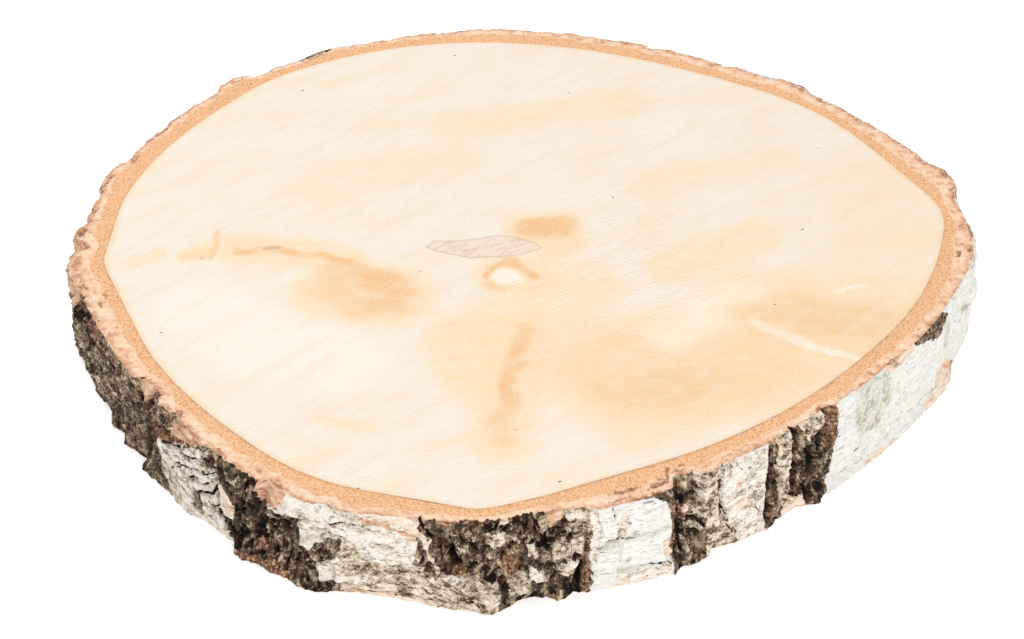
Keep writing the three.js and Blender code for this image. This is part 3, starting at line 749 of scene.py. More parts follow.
def crag_relief(places):
    """Rough bark: upright lumps and flakes with deep gaps and pits between them."""
    bent = places + 2.4 * bend(places, 6.0, 3) + 0.8 * bend(places, 1.9, 5)
    lumps = 1.9 * (np.sqrt(np.abs(noise(bent / (4.2, 4.2, 9), 11))) - 0.5)
    knobs = 1.2 * (np.sqrt(np.abs(noise(bent / (1.8, 1.8, 3.2), 13))) - 0.5)
    flakes = terraces(rough_noise(bent / (3.4, 3.4, 2.6), 17), 0.4)
    pits = 1.5 * smooth_step(noise(bent / (2.4, 2.4, 4), 19), 0.3, 0.55)
    grain = 0.7 * rough_noise(bent / (1.1, 1.1, 6), 23, octaves=2)
    return lumps + knobs + flakes + grain - pits + 0.5 * rough_noise(places / 1.1, 31, octaves=3)


def paper_relief(places):
    """Papery bark: nearly smooth, with low waves, level creases and layers that have peeled."""
    waves = 0.2 * noise(places / (9, 9, 6), 41)
    creases = 0.07 * rough_noise(places / (4, 4, 0.7), 43, octaves=3)
    layers = terraces(0.35 * rough_noise(places / (9, 9, 4), 47), 0.14)
    return waves + creases + layers


def rim_reach(angles, wander):
    """How far in over the rim the face's own colours go."""
    reach = np.full(len(angles), 0.12)
    for start, end, far in OVER_RIM:
        half = (end - start) / 2
        aside = turn_between(start + half, angles)
        inside = between(aside, (-half - 0.5, 0.5 - half), (half - 0.5, half + 0.5))
        reach = np.maximum(reach, far * inside * (0.9 + 0.3 * wander))
    return reach


def loose_sheets(angles, places, masks):
    """How much white paper there is outside the patches."""
    cover = stretch_value(angles, "paper")
    spread = 0.5 + 0.5 * rough_noise(places / (17, 17, 14), 61)
    sheets = smooth_step(spread - (1 - cover * 1.15), -0.08, 0.08) * (cover > 0.02)
    return (1 - sum(masks.values())) * sheets


def torn_edge(angles, sheet, wander):
    """How much the bark is torn along its upper edge, on the hidden side."""
    near_rim = smooth_step(sheet, THICKNESS - 3.5, THICKNESS - 1.5)
    covered = smooth_step(rim_reach(angles, 0 * angles), 0.3, 0.6)
    broken = smooth_step(wander, -0.9, -0.3)
    return near_rim * broken * between(angles % 360, *TORN_BACK) * (1 - covered)


def bark_tints(angles, heights, sheet):
    """The tints of the bark, the lift of its patches, and the depth of its cracks and furrows.

    sheet is the height carried on over the rims, so that patches reach onto the sawn faces.
    """
    places = bark_places(angles, sheet)
    wander = noise(places / 2.6, 51) + 0.6 * noise(places / 0.9, 53)
    masks, lift = patch_masks(angles, sheet, wander)
    sheets = loose_sheets(angles, places, masks)
    masks["paper"] = masks["paper"] + sheets
    breaks = smooth_step(noise(places / 1.6, 57), -0.45, 0.05)
    crack, black = crack_masks(angles, sheet, wander, breaks)
    furrow = furrow_depth(angles, heights, 0.9 * noise(places / 4, 55))
    # Painted shade in the deep furrows, by their depth.
    black = np.maximum(black, smooth_step(furrow, 1.6, 3.2) * 0.7)
    torn = torn_edge(angles, sheet, wander) * (1 - black)
    masks = {tint: mask * (1 - black) * (1 - torn) for tint, mask in masks.items()}
    masks["black"] = masks["black"] + black
    masks["peach"] = masks["peach"] + torn * 0.8
    return masks, lift + 0.4 * sheets, crack, furrow


def stack_tints(masks):
    """Turns each tint's share of the whole into its share over the tints that come before it."""
    below = 1 - sum(masks.values()) + masks.pop("crag")
    for tint, mask in masks.items():
        total = below + mask
        masks[tint] = mask / np.maximum(total, 1e-6)
        below = total


def bark_surface(angles, heights, sheet):
    """Radius of the bark's face and the tints on it."""
    places = bark_places(angles, heights)
    masks, lift, crack, furrow = bark_tints(angles, heights, sheet)
    calm = np.clip(sum(share * masks[tint] for tint, share in CALM.items()), 0, 1)
    rough = np.maximum(stretch_value(angles, "rough"), 0.5 * (1 - calm))
    even = 1 - smooth_step(stretch_value(angles, "torn"), 0.4, 1.5)
    even_rim = smooth_step(heights, THICKNESS - 3, THICKNESS - 1) * even
    crags = crag_relief(places) * rough * (1 - calm) * (1 - 0.8 * even_rim)
    radius = outline_radius(BARK_FACE, angles) + stretch_value(angles, "lift")
    radius = radius + lift + bulge_height(angles, heights) - furrow - crack + crags
    radius = radius + paper_relief(places) * calm
    radius = radius + 0.4 * masks["mottled"] * rough_noise(places / 1.8, 71)
    layered = masks["peach"] + 0.5 * masks["cream"]
    radius = radius + layered * terraces(0.9 * rough_noise(places / (4, 4, 1.2), 73), 0.35)
    # relief is how far the bark stands out, less its furrows and cracks, plus each stretch's own
    # lightness. The crag is painted darker where it is low, as painted shade, and lighter where it is
    # high, as painted light.
    relief = 0.5 + crags * 0.3 - furrow * 0.14 - crack * 0.3 + 0.5 * stretch_value(angles, "light")
    stack_tints(masks)
    masks["relief"] = np.clip(relief, 0, 1)
    return radius, masks


def rim_fall(heights, torn, wander):
    """How far the face steps back towards the torn rims."""
    upper = torn * (1 + 0.25 * wander)
    reach = upper * 1.1 + 0.5
    near_top = np.clip(1 - (THICKNESS - BARK_SINK - heights) / reach, 0, 1)
    near_foot = np.clip(1 - (heights - BARK_SINK) / (reach * 0.8), 0, 1)
    return upper * near_top ** 1.6 + LOWER_TEAR * upper * near_foot ** 1.6


def face_radius(angles, heights):
    """Radius and tints of the face, with its torn rims and its foot."""
    radius, masks = bark_surface(angles, heights, heights)
    rim_noise = noise(bark_places(angles, 0 * angles + RIM_NOISE_HEIGHT) / 2.2, 81)
    radius = radius - rim_fall(heights, stretch_value(angles, "torn"), rim_noise)
    at, out = np.array(FOOT_EDGE).T
    turned = angles % 360
    known = between(turned, (at[0], at[0] + 3), (at[-1] - 5, at[-1]))
    foot = outline_radius(BARK_FACE, angles) + np.interp(turned, at, out)
    foot = foot + 0.5 * rough_noise(bark_places(angles, heights) / 1.5, 83, octaves=3)
    near = (1 - smooth_step(heights, BARK_SINK, FOOT_BLEND)) * known
    return lerp(radius, foot, near), masks


def grid(columns, rows):
    """Every pair of a column's and a row's value, row by row."""
    return np.tile(columns, len(rows)), np.repeat(rows, len(columns))


def face_part(angles):
    """The outer face of the bark."""
    turned, heights = grid(angles, np.arange(THICKNESS - BARK_SINK, BARK_SINK, -FACE_STEP))
    radius, masks = face_radius(turned, heights)
    none = 0 * radius
    masks.update(radius=radius, height=heights, sawn=none, across=none + 1, scar=none)
    return masks


def scar_mask(angles, inward, places):
    """How brown the tears in the sawn bark are."""
    along = 2.0 * noise(places / 2.4, 98)
    aside = 0.8 * rough_noise(places / (1.3, 1.3, 1), 99, octaves=2)
    total = np.zeros(len(angles))
    for at, far, long, wide, dark in SCARS:
        x = (turn_between(at, angles) * DEGREE + along) / long
        y = (inward - far + aside) / wide
        total = np.maximum(total, dark * np.clip(1.3 - np.hypot(x, y), 0, 1))
    return total


def sawn_sink(share, inward, places, scar):
    """How far the sawn bark lies below the wood, with its grain, chips and tears."""
    grain = 0.1 * rough_noise(places / 0.9, 91, octaves=2) * np.clip(4 * share, 0, 1)
    chips = 0.35 * np.clip(1 - inward / 2.2, 0, 1) * np.abs(noise(places / 2.4, 93))
    sink = np.where(share > 0, BARK_SINK, 0.0) - grain + chips * smooth_step(inward, 0, 0.5)
    return np.maximum(sink + 0.7 * scar * smooth_step(inward, 0, 0.4), 0)


def band_share(angles, across):
    """A share of the way across the sawn bark, made a half where its inner band ends."""
    across = np.clip(across, 0, 1)
    inner = np.interp(angles % 360, *np.array(INNER_BAND).T)
    return np.where(across < inner, across / inner, 1 + (across - inner) / (1 - inner)) / 2


def sawn_part(angles, wood, rim, shares, upper):
    """A sawn face of the bark, from share to share of the way out from the wood."""
    turned, share = grid(angles, shares)
    wood, rim = np.tile(wood, len(shares)), np.tile(rim, len(shares))
    radius = np.where(share > 0, lerp(wood + BARK_DROP_WIDTH, rim, share), wood)
    inward = rim - radius
    places = round_pith(radius, turned, 0 * radius + UPPER_NOISE_HEIGHT * upper)
    scar = scar_mask(turned, inward, places)
    sink = sawn_sink(share, inward, places, scar)
    height = THICKNESS - sink if upper else sink
    sheet = THICKNESS + inward / 2 if upper else -inward / 2
    masks = bark_surface(turned, 0 * radius + THICKNESS * upper, sheet)[1]
    reach = rim_reach(turned, noise(places / 2.6, 95) + 0.5 * noise(places / 0.8, 97))
    sawn = smooth_step(inward, 0.6 * reach, reach + 0.15)
    across = band_share(turned, (radius - wood) / (rim - wood))
    masks.update(radius=radius, height=height, sawn=sawn, across=across, scar=scar)
    return masks


def wall_part(wood):
    """The hidden wall of the bark against the wood."""
    levels = np.linspace(0, THICKNESS, WALL_ROWS + 2)[1:-1]
    radius, height = grid(wood, levels)
    part = {key: 0 * height for key in (*TINTS, "relief", "across", "scar")}
    part.update(radius=radius, height=height, sawn=0 * height + 1)
    return part


def bark_mesh(name, angles):
    """One closed sector of the bark ring between the first and the last of its angles."""
    wood = wood_radius(angles)
    upper_rim = face_radius(angles, 0 * angles + THICKNESS - BARK_SINK)[0]
    lower_rim = face_radius(angles, 0 * angles + BARK_SINK)[0]
    parts = [
        sawn_part(angles, wood, upper_rim, np.linspace(0, 1, CUT_ROWS)[:-1], True),
        face_part(angles),
        sawn_part(angles, wood, lower_rim, np.linspace(1, 0, LOWER_ROWS), False),
        wall_part(wood),
    ]
    values = {key: np.concatenate([part[key] for part in parts]) for key in parts[0]}
    radius, height = values.pop("radius"), values.pop("height")
    rows, columns = len(radius) // len(angles), len(angles)
    points = round_pith(radius, np.tile(angles, rows), height) + (*PITH, 0)
    quads = ring_quads(rows, columns)
    hidden = (WALL_ROWS + 1) * (columns - 1)
    flat = [*quads[-hidden:], *ring_caps(rows, columns)]
    mesh = make_mesh(name, points * MM, quads[:-hidden], flat, values)
    set_map(mesh, bark_map(points.reshape(rows, columns, 3)))
    return mesh


def ring_quads(rows, columns):
    """Faces of a grid whose last row joins its first."""
    row, column = np.meshgrid(np.arange(rows), np.arange(columns - 1), indexing="ij")
    first = row * columns + column
    below = (row + 1) % rows * columns + column
    return np.stack([first, below, below + 1, first + 1], axis=-1).reshape(-1, 4)


def ring_caps(rows, columns):
    """The two end faces of such a grid."""
    start = np.arange(rows) * columns
    return [start, (start + columns - 1)[::-1]]


def make_mesh(name, points, quads, flat, values):
    """A mesh from points, smooth four-sided faces, flat faces, and numbers for each point."""
    mesh = bpy.data.meshes.new(name)
    faces = [tuple(face) for face in quads.tolist()] + [tuple(face.tolist()) for face in flat]
    mesh.from_pydata(points.tolist(), [], faces)
    mesh.polygons.foreach_set("use_smooth", np.arange(len(faces)) < len(quads))
    mesh.update()
    for key, numbers in values.items():
        attribute = mesh.attributes.new(key, "FLOAT", "POINT")
        attribute.data.foreach_set("value", np.ascontiguousarray(numbers, dtype=np.float32))
    return mesh


def bark_map(points):
    """A sector unrolled onto strips, with the hidden rows squeezed together."""
    rows, columns = points.shape[:2]
    steps = np.linalg.norm(np.diff(points, axis=0, append=points[:1]), axis=-1).mean(axis=1)
    steps[rows - WALL_ROWS - 1:] = HIDDEN_STEP
    down = np.concatenate([[0], np.cumsum(steps)]) / steps.sum()
    row, column = np.meshgrid(np.arange(rows), np.arange(columns - 1), indexing="ij")
    strip_columns = -(-(columns - 1) // MAP_STRIPS)
    strip = column // strip_columns
    corners = []
    for row_step, column_step in ((0, 0), (1, 0), (1, 1), (0, 1)):
        u = (column + column_step - strip * strip_columns) / strip_columns
        v = (strip + MAP_ROOM + down[row + row_step] * (1 - 2 * MAP_ROOM)) / MAP_STRIPS
        corners.append(np.stack([MAP_ROOM + u * (1 - 2 * MAP_ROOM), v], axis=-1))
    return np.stack(corners, axis=2).reshape(-1, 2)


def set_map(mesh, places):
    """Writes the map of a mesh, with any faces past the end of the list in its corner."""
    full = np.zeros((len(mesh.loops), 2), np.float32)
    full[:len(places)] = places
    mesh.uv_layers.new(name="OFBake").data.foreach_set("uv", full.ravel())


def add_object(mesh, material):
    """An object that rides on the slice, stands for its solid and has one material."""
    piece = bpy.data.objects.new(mesh.name, mesh)
    bpy.context.collection.objects.link(piece)
    mesh.materials.append(material)
    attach(piece, "root")
    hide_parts(SLICE)


def wood_face(rim, step):
    """Flat triangles over the sawn wood. The points of its rim come first."""
    rows = np.arange(-WOOD_FIELD, WOOD_FIELD, step * ROW_STEP)
    x, y = np.meshgrid(np.arange(-WOOD_FIELD, WOOD_FIELD, step), rows)
    x = (x + step / 2 * (np.arange(len(rows)) % 2)[:, None]).ravel()
    y = y.ravel()
    inside = wood_depth(x, y) > EDGE_ROOM * step
    points = np.concatenate([rim, np.stack([x[inside], y[inside]], axis=-1)])
    loop = [list(range(len(rim)))]
    flat, _, faces, *_ = delaunay_2d_cdt([Vector(p) for p in points], [], loop, 1, 1e-7, False)
    return np.array(flat), np.array(faces)


def wood_map(flat, middle, radius):
    """Places on the map of a face of the wood."""
    return middle + flat * radius / MAP_REACH


def wood_mesh(name, angles):
    """The sawn wood, with both its faces."""
    rim = round_pith(wood_radius(angles), angles, 0 * angles)[:, :2]
    top, top_faces = wood_face(rim, WOOD_STEP)
    under, under_faces = wood_face(rim, UNDER_STEP)
    under_faces = under_faces[:, ::-1] + len(top)
    height = np.repeat([THICKNESS, 0.0], [len(top), len(under)])
    flat = np.concatenate([top, under])
    points = np.column_stack([flat + PITH, height])
    column = np.arange(len(rim))
    after = (column + 1) % len(rim)
    wall = np.stack([column, column + len(top), after + len(top), after], axis=-1)
    faces = [*top_faces, *under_faces, *wall]
    mesh = make_mesh(name, points * MM, wall[:0], faces, wood_marks(flat, height > 0))
    grown = np.where(wall < len(top), 1.0, WALL_REACH)[..., None]
    corners = [
        wood_map(flat, *TOP_MAP)[top_faces],
        wood_map(flat, *UNDER_MAP)[under_faces],
        wood_map(flat[wall] * grown, *TOP_MAP),
    ]
    set_map(mesh, np.concatenate([part.reshape(-1, 2) for part in corners]))
    return mesh


def wood_marks(flat, upper):
    """How strongly each tint of the wood shows at flat places, and the depth in its pocket."""
    places = np.column_stack([flat, 0 * upper])
    wobble = 2.2 * bend(places, 11.0, 201) + 0.8 * bend(places, 3.2, 203)
    x, y = (places + wobble)[:, :2].T
    patchy = np.clip(0.95 + 0.4 * rough_noise(places / (7, 4, 1), 211), 0, 1.3)
    shown = {tint: np.zeros(len(flat)) for tint in WOOD_TINTS}
    for tint, strength, half, soft, route in WOOD_MARKS:
        gap = path_distance(x, y, np.array(route, float))
        mark = strength * patchy * (1 - smooth_step(gap, half, half + soft)) * upper
        shown[tint] = 1 - (1 - shown[tint]) * (1 - np.clip(mark, 0, 1))
    border = 0.4 * (1 - smooth_step(wood_depth(*flat.T), 0, 1.6))
    shown["amber"] = np.maximum(shown["amber"], border)
    depth = polygon_depth(*flat.T, np.array(POCKET, float)) + 0.25 * noise(places / 2.0, 215)
    shown["pocket"] = np.where(upper, np.clip(depth, -4, 4), -4)
    return shown


def colour(red, green, blue):
    """Linear colour of a screen colour given as numbers from 0 to 255."""
    return tuple(
        level / 255 / 12.92 if level < 10.3 else ((level / 255 + 0.055) / 1.055) ** 2.4
        for level in (red, green, blue)
    ) + (1.0,)


class Graph:
    """Short names for the shader nodes of one material, with vectors in millimetres."""

    def __init__(self, name):
        self.material = bpy.data.materials.new(name)
        self.material.use_nodes = True
        self.tree = self.material.node_tree
        self.shader = self.tree.nodes["Principled BSDF"]

    def put(self, socket, value):
        if isinstance(value, bpy.types.NodeSocket):
            self.tree.links.new(value, socket)
        else:
            socket.default_value = value

    def shade(self, **inputs):
        """Sets inputs of the shader, with _ for each space in their names."""
        for name, value in inputs.items():
            self.put(self.shader.inputs[name.replace("_", " ")], value)
        return self.material

    def add(self, kind, inputs, **settings):
        node = self.tree.nodes.new(kind)
        for key, value in settings.items():
            setattr(node, key, value)
        for key, value in inputs.items():
            self.put(node.inputs[key], value)
        return node

    def place(self):
        metres = self.add("ShaderNodeTexCoord", {}).outputs["Object"]
        return self.vector("SCALE", metres, Scale=1 / MM)

    def attribute(self, name):
        return self.add("ShaderNodeAttribute", {}, attribute_name=name).outputs["Fac"]

    def math(self, operation, first, second=0.0, clamp=False):
        inputs = {0: first, 1: second}
        return self.add("ShaderNodeMath", inputs, operation=operation, use_clamp=clamp).outputs[0]

    def times(self, first, second):
        return self.math("MULTIPLY", first, second)

    def total(self, first, *others):
        for other in others:
            first = self.math("ADD", first, other)
        return first

    def centred(self, value, factor):
        """A noise less its middle value, times a factor."""
        return self.times(self.math("SUBTRACT", value, 0.5), factor)

    def aside(self, value, middle=0.5):
        """How far a value is from a middle one. In a noise it is least along winding lines."""
        return self.math("ABSOLUTE", self.math("SUBTRACT", value, middle))

    def vector(self, operation, first, second=(0.0, 0.0, 0.0), output=0, **inputs):
        inputs.update({0: first, 1: second})
        return self.add("ShaderNodeVectorMath", inputs, operation=operation).outputs[output]

    def stretched(self, vector, size, turn=0.0):
        """A vector in which one unit is as long as size says in each direction, once turned."""
        inputs = {"Vector": vector, "Scale": size, "Rotation": (0, 0, math.radians(turn))}
        return self.add("ShaderNodeMapping", inputs, vector_type="TEXTURE").outputs[0]

    def noise(self, vector, size, detail=3.0, roughness=0.55):
        inputs = {"Vector": vector, "Scale": 1 / size, "Detail": detail, "Roughness": roughness}
        return self.add("ShaderNodeTexNoise", inputs).outputs["Fac"]

    def grain(self, vector, size, detail=3.0, roughness=0.55, turn=0.0):
        """Noise with features of one size in each direction, and turned."""
        return self.noise(self.stretched(vector, size, turn), 1.0, detail, roughness)

    def span(self, value, low, high, start=0.0, end=1.0):
        """A smooth change from start, where the value is low, to end, where it is high."""
        inputs = {"Value": value, "From Min": low, "From Max": high, "To Min": start, "To Max": end}
        node = self.add("ShaderNodeMapRange", inputs, interpolation_type="SMOOTHSTEP")
        return node.outputs[0]

    def mix(self, share, low, high):
        inputs = {0: share, 6: low, 7: high}
        return self.add("ShaderNodeMix", inputs, data_type="RGBA").outputs[2]

    def cover(self, base, tone, share):
        """The base with a share of a screen colour over it."""
        return self.mix(share, base, colour(*tone))

    def tint(self, base, tone, value, *levels):
        """The base with a screen colour over it, as strong as the span of a value says."""
        return self.cover(base, tone, self.span(value, *levels))

    def ramp(self, value, stops):
        """A colour for each value, from stops of (value, red, green, blue)."""
        node = self.add("ShaderNodeValToRGB", {"Fac": value})
        points = node.color_ramp.elements
        for point, (place, *tone) in zip(points, (stops[0], stops[-1])):
            point.position = place
            point.color = colour(*tone)
        for place, *tone in stops[1:-1]:
            points.new(place).color = colour(*tone)
        return node.outputs["Color"]

    def ragged(self, name, crumbs, reach, soft=0.08):
        """A mask of the mesh, with an edge that wanders by a noise."""
        moved = self.total(self.attribute(name), self.centred(crumbs, reach))
        return self.span(moved, 0.5 - soft, 0.5 + soft)

    def bump(self, height, distance):
        inputs = {"Height": height, "Distance": distance * MM, "Strength": 1.0}
        return self.add("ShaderNodeBump", inputs).outputs[0]


def wood_clouds(graph, place, dabs):
    """Pale wood with soft tan and white clouds and small tan dabs."""
    clouds = graph.grain(place, (26, 11, 1), 5.0, 0.6, SAW_TURN)
    base = graph.tint(colour(233, 222, 208), WOOD_TINTS["tan"], clouds, 0.46, 0.7, 0.0, 0.45)
    base = graph.tint(base, (236, 228, 217), clouds, 0.3, 0.44, 0.5, 0.0)
    return graph.tint(base, WOOD_TINTS["tan"], dabs, 0.52, 0.72, 0.0, 0.26)


def pocket_colour(graph, base, place):
    """A grey-pink pocket near the pith, with a brown outline and slanted lines in it."""
    depth = graph.attribute("pocket")
    lines = graph.aside(graph.grain(place, (14, 1.3, 1), 2.0, turn=POCKET_TURN))
    inside = graph.span(depth, -0.2, 0.4)
    base = graph.cover(base, (228, 209, 193), graph.times(inside, 0.8))
    drawn = graph.times(inside, graph.span(lines, 0.0, 0.04, 0.45, 0.0))
    base = graph.cover(base, (176, 138, 112), drawn)
    return graph.tint(base, (176, 138, 112), graph.math("ABSOLUTE", depth), 0.1, 0.6, 0.4, 0.0)


def saw_lines(graph, base, place, waves, dabs):
    """Fine lines that the saw left, boldest round one place, and broader bands."""
    near = graph.vector("DISTANCE", place, BOLDEST, output=1)
    bold = graph.times(graph.span(near, 12.0, 52.0, 0.6, 0.27), graph.span(dabs, 0.36, 0.6, 0.1, 1.0))
    base = graph.cover(base, (226, 194, 154), graph.times(graph.span(waves, 0.62, 1.0), bold))
    bands = graph.grain(place, (34, 5, 1), 4.0, turn=BAND_TURN)
    return graph.tint(base, (230, 208, 180), bands, 0.48, 0.64, 0.0, 0.32)


def wood_specks(graph, base, place):
    """Dark and pale grains, and a few small dark specks drawn out along the saw marks."""
    grains = graph.noise(place, 0.62, 2.0)
    base = graph.tint(base, (219, 192, 158), grains, 0.52, 0.68, 0.0, 0.2)
    base = graph.tint(base, (240, 233, 223), grains, 0.34, 0.48, 0.3, 0.0)
    cells = graph.stretched(place, (17, 11, 1), SAW_TURN)
    spots = graph.add("ShaderNodeTexVoronoi", {"Vector": cells, "Scale": 1.0})
    chosen = graph.span(graph.noise(cells, 1.7, 0.0), 0.45, 0.5)
    dark = graph.span(spots.outputs["Distance"], 0.018, 0.04, 0.85, 0.0)
    return graph.cover(base, (120, 92, 72), graph.times(dark, chosen))


def wood_material():
    """Pale sawn birch: saw marks, tan clouds and the marks of its heart."""
    graph = Graph("sawn birch")
    place = graph.vector("SUBTRACT", graph.place(), (*PITH, 0))
    place = graph.vector("MULTIPLY", place, (1, 1, 0))
    dabs = graph.grain(place, (5, 2.2, 1), 5.0, 0.7, SAW_TURN)
    base = wood_clouds(graph, place, dabs)
    crumbs = graph.span(dabs, 0.3, 0.62, 0.8, 1.1)
    for tint, tone in WOOD_TINTS.items():
        shown = graph.math("MULTIPLY", graph.attribute(tint), crumbs, clamp=True)
        base = graph.cover(base, tone, shown)
    base = pocket_colour(graph, base, place)
    waves = graph.add("ShaderNodeTexWave", {
        "Vector": graph.stretched(place, (3, 1, 1), SAW_TURN), "Scale": 0.21, "Distortion": 7.0,
        "Detail": 5.0, "Detail Scale": 0.8, "Detail Roughness": 0.65,
    }, bands_direction="Y").outputs["Fac"]
    base = saw_lines(graph, base, place, waves, dabs)
    base = wood_specks(graph, base, place)
    return graph.shade(Base_Color=base, Roughness=0.62, Normal=graph.bump(waves, 0.04))


def crag_colour(graph, place, tone, grit, middle):
    """Rough bark: grey-brown lumps, upright streaks and pale flecks, painted darker in its gaps and
    hollows as painted shade and lighter where it stands out as painted light.
    """
    relief = graph.attribute("relief")
    blotches = graph.math("SUBTRACT", graph.noise(place, 3.0, 5.0, 0.65), 0.3)
    streaks = graph.centred(graph.grain(place, (1.3, 1.3, 8)), 0.4)
    # Painted light on the crests and painted shade in the hollows.
    painted_relief_shading = graph.centred(relief, 0.5)
    shade = graph.ramp(graph.total(graph.times(tone, 0.6), blotches, painted_relief_shading, streaks), CRAG)
    shade = graph.tint(shade, (110, 78, 58), middle, 0.52, 0.64, 0.0, 0.5)
    shade = graph.tint(shade, (126, 115, 97), graph.noise(place, 11.0), 0.52, 0.64, 0.0, 0.25)
    flecks = graph.times(graph.span(grit, 0.57, 0.66), graph.span(relief, 0.35, 0.6))
    shade = graph.cover(shade, (198, 182, 158), graph.times(flecks, 0.35))
    shade = graph.tint(shade, (34, 26, 20), grit, 0.35, 0.43, 0.35, 0.0)
    # Painted shade: dark winding lines that stand in for shaded gaps between the lumps, which the shape
    # doesn't have.
    gaps = graph.aside(graph.grain(place, (2.6, 2.6, 3.6), 5.0, 0.65))
    shade = graph.tint(shade, (30, 22, 17), gaps, 0.008, 0.03, 0.8, 0.0)
    # Painted shade: the lowest parts of the crag are made near black.
    return graph.tint(shade, (26, 19, 14), relief, 0.06, 0.32, 0.85, 0.0)


def paper_colour(graph, place, tone, middle, cracks):
    """White paper: faint level streaks, warm clouds, thin cracks and dark level dashes."""
    level = graph.grain(place, (4, 4, 0.9), 4.0)
    mixed = graph.total(graph.centred(level, 0.35), graph.centred(tone, 0.35), 0.52)
    shade = graph.ramp(mixed, PAPER)
    shade = graph.tint(shade, (228, 218, 204), middle, 0.5, 0.7, 0.0, 0.3)
    shade = graph.cover(shade, (120, 106, 90), graph.times(cracks, 0.45))
    dashes = graph.grain(place, (4.6, 4.6, 0.5), 1.0)
    return graph.tint(shade, (104, 94, 82), dashes, 0.67, 0.72, 0.0, 0.8)


def hairlines(graph, place):
    """Thin broken cracks, mostly level, where the value is high."""
    lines = graph.aside(graph.grain(place, (4.2, 4.2, 1.7), 5.0, 0.6))
    broken = graph.span(graph.noise(place, 3.2, 2.0), 0.42, 0.56)
    return graph.times(graph.span(lines, 0.006, 0.022, 0.9, 0.0), broken)


def sawn_colour(graph, place, fine, grit):
    """Sawn bark: a granular orange band by the wood and a paler, streaked one outside it."""
    across = graph.attribute("across")
    band = graph.total(across, graph.centred(graph.noise(place, 7.0), 0.5))
    inner = graph.ramp(graph.noise(place, 0.7, 3.0, 0.7), INNER_BARK)
    dense = graph.span(graph.noise(place, 9.0), 0.42, 0.6)
    pits = graph.times(graph.span(grit, 0.63, 0.69), dense)
    inner = graph.cover(inner, (136, 86, 58), graph.times(pits, 0.8))
    outer = graph.ramp(graph.grain(place, (3.4, 3.4, 1), 6.0, 0.75), OUTER_BARK)
    base = graph.mix(graph.span(band, 0.5, 0.58), inner, outer)
    base = graph.tint(base, (244, 218, 192), graph.aside(band, 0.53), 0.0, 0.05, 0.5, 0.0)
    base = graph.tint(base, (238, 190, 146), across, 0.0, 0.12, 0.3, 0.0)
    edge = graph.times(graph.span(across, 0.74, 0.97), graph.span(fine, 0.42, 0.56))
    base = graph.cover(base, (178, 124, 96), graph.times(edge, 0.75))
    torn = graph.tint(colour(110, 70, 53), (190, 138, 108), fine, 0.4, 0.6)
    return graph.mix(graph.times(graph.ragged("scar", fine, 1.4), 0.8), base, torn)


def tint_colours(graph, place, tone, middle):
    """The colour of each tint of the bark but the crag."""
    clouds = graph.math("SUBTRACT", graph.grain(place, (4.6, 4.6, 2.0), 5.0, 0.65), 0.3)
    cloudy = graph.total(graph.times(tone, 0.6), clouds)
    level = graph.grain(place, (5, 5, 0.9), 5.0, 0.7)
    cracks = hairlines(graph, place)
    paper = paper_colour(graph, place, tone, middle, cracks)
    green = graph.tint(colour(146, 138, 112), (200, 194, 172), tone, 0.44, 0.56)
    return {
        "mottled": graph.cover(graph.ramp(cloudy, MOTTLED), (92, 76, 60), cracks),
        "worn": graph.cover(graph.ramp(cloudy, WORN), (104, 88, 70), cracks),
        "paper": paper,
        "algae": graph.mix(graph.span(middle, 0.38, 0.6, 0.85, 0.3), paper, green),
        "rust": graph.ramp(tone, RUST),
        "peach": graph.ramp(level, PEACH),
        "cream": graph.ramp(level, CREAM),
        # Painted shade in the cracks, the deep furrows and the hole.
        "black": graph.ramp(tone, HOLLOW_SHADE_TONES),
    }


def bark_material():
    """All of the bark, chosen by the masks on its mesh."""
    graph = Graph("birch bark")
    place = graph.place()
    fine = graph.noise(place, 1.3, 5.0, 0.7)
    grit = graph.noise(place, 0.55, 2.0)
    middle = graph.noise(place, 4.0)
    tone = graph.total(fine, graph.centred(grit, 0.5))
    base = crag_colour(graph, place, tone, grit, middle)
    for tint, shade in tint_colours(graph, place, tone, middle).items():
        soft = 0.35 if tint == "algae" else 0.08
        base = graph.mix(graph.ragged(tint, fine, 1.4, soft), base, shade)
    sawn = sawn_colour(graph, place, fine, grit)
    base = graph.mix(graph.ragged("sawn", fine, 0.5), base, sawn)
    relief = graph.bump(tone, 0.4)
    return graph.shade(Base_Color=base, Roughness=0.9, Normal=relief, Specular_IOR_Level=0.1)


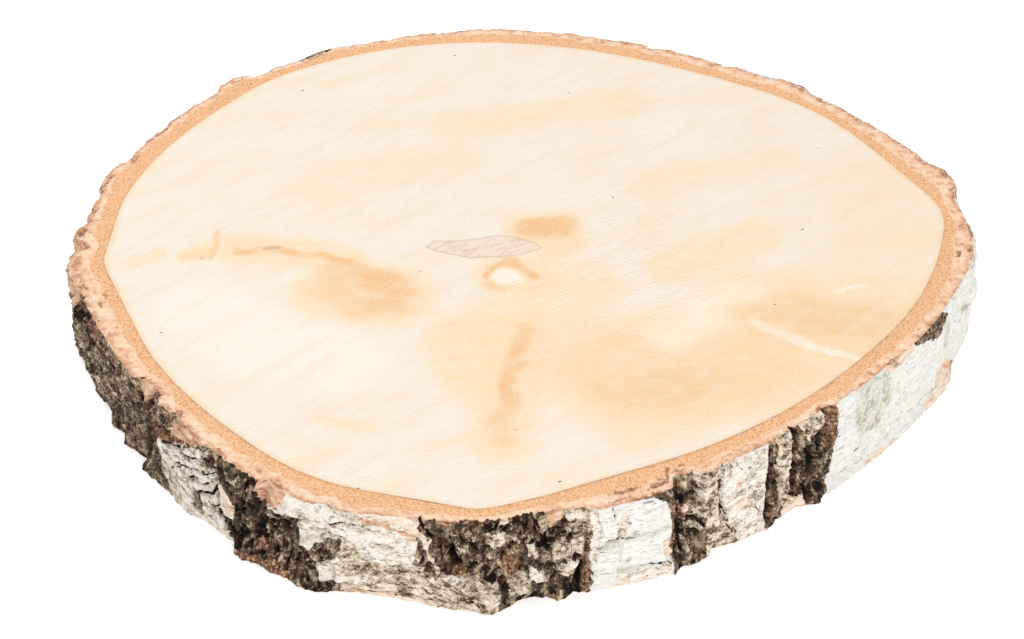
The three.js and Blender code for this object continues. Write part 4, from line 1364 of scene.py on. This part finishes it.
def make_slice():
    """The wood and the bark round it."""
    bark = bark_material()
    edges = []
    for name, start, end, step in SECTORS:
        angles = np.linspace(start, end, round((end - start) / step) + 1)
        add_object(bark_mesh(name, angles), bark)
        edges.append(angles[:-1])
    add_object(wood_mesh("sawn_wood", np.concatenate(edges)), wood_material())


def make_floor():
    """A plain white floor, which isn't part of the object."""
    bpy.ops.mesh.primitive_plane_add(size=FLOOR_SIZE, location=(0, 0, -FLOOR_GAP))
    floor = bpy.context.object
    floor.name = "studio_floor"
    white = Graph("studio white").shade(
        Base_Color=(0.9, 0.9, 0.9, 1), Roughness=1.0,
        Emission_Color=(1, 1, 1, 1), Emission_Strength=FLOOR_GLOW,
    )
    floor.data.materials.append(white)


def make_light(name, place, size, power):
    """A soft square lamp that faces the slice."""
    lamp = bpy.data.lights.new(name, "AREA")
    lamp.energy = power
    lamp.size = size
    light = bpy.data.objects.new(name, lamp)
    bpy.context.collection.objects.link(light)
    light.location = place
    light.rotation_euler = (-Vector(place)).to_track_quat("-Z", "Y").to_euler()


def make_studio():
    """Even white light from all round, with soft lamps above and in front."""
    world = bpy.data.worlds.new("studio")
    bpy.context.scene.world = world
    world.use_nodes = True
    back = world.node_tree.nodes["Background"]
    back.inputs["Color"].default_value = (1, 1, 1, 1)
    back.inputs["Strength"].default_value = SKY_LIGHT
    for lamp in LAMPS:
        make_light(*lamp)
    bpy.context.scene.view_settings.view_transform = "Standard"


def make_camera():
    """The camera, at the photograph's viewing angle."""
    target = Vector(LOOK_AT) * MM
    tilt = math.radians(VIEW_HEIGHT)
    data = bpy.data.cameras.new("camera")
    data.lens = LENS
    data.sensor_width = SENSOR
    data.clip_start = 0.01
    camera = bpy.data.objects.new("camera", data)
    bpy.context.collection.objects.link(camera)
    camera.location = target + VIEW_DISTANCE * Vector((0, -math.cos(tilt), math.sin(tilt)))
    camera.rotation_euler = (math.radians(90 - VIEW_HEIGHT), 0, 0)
    bpy.context.scene.camera = camera


make_slice()
make_floor()
make_studio()
make_camera()
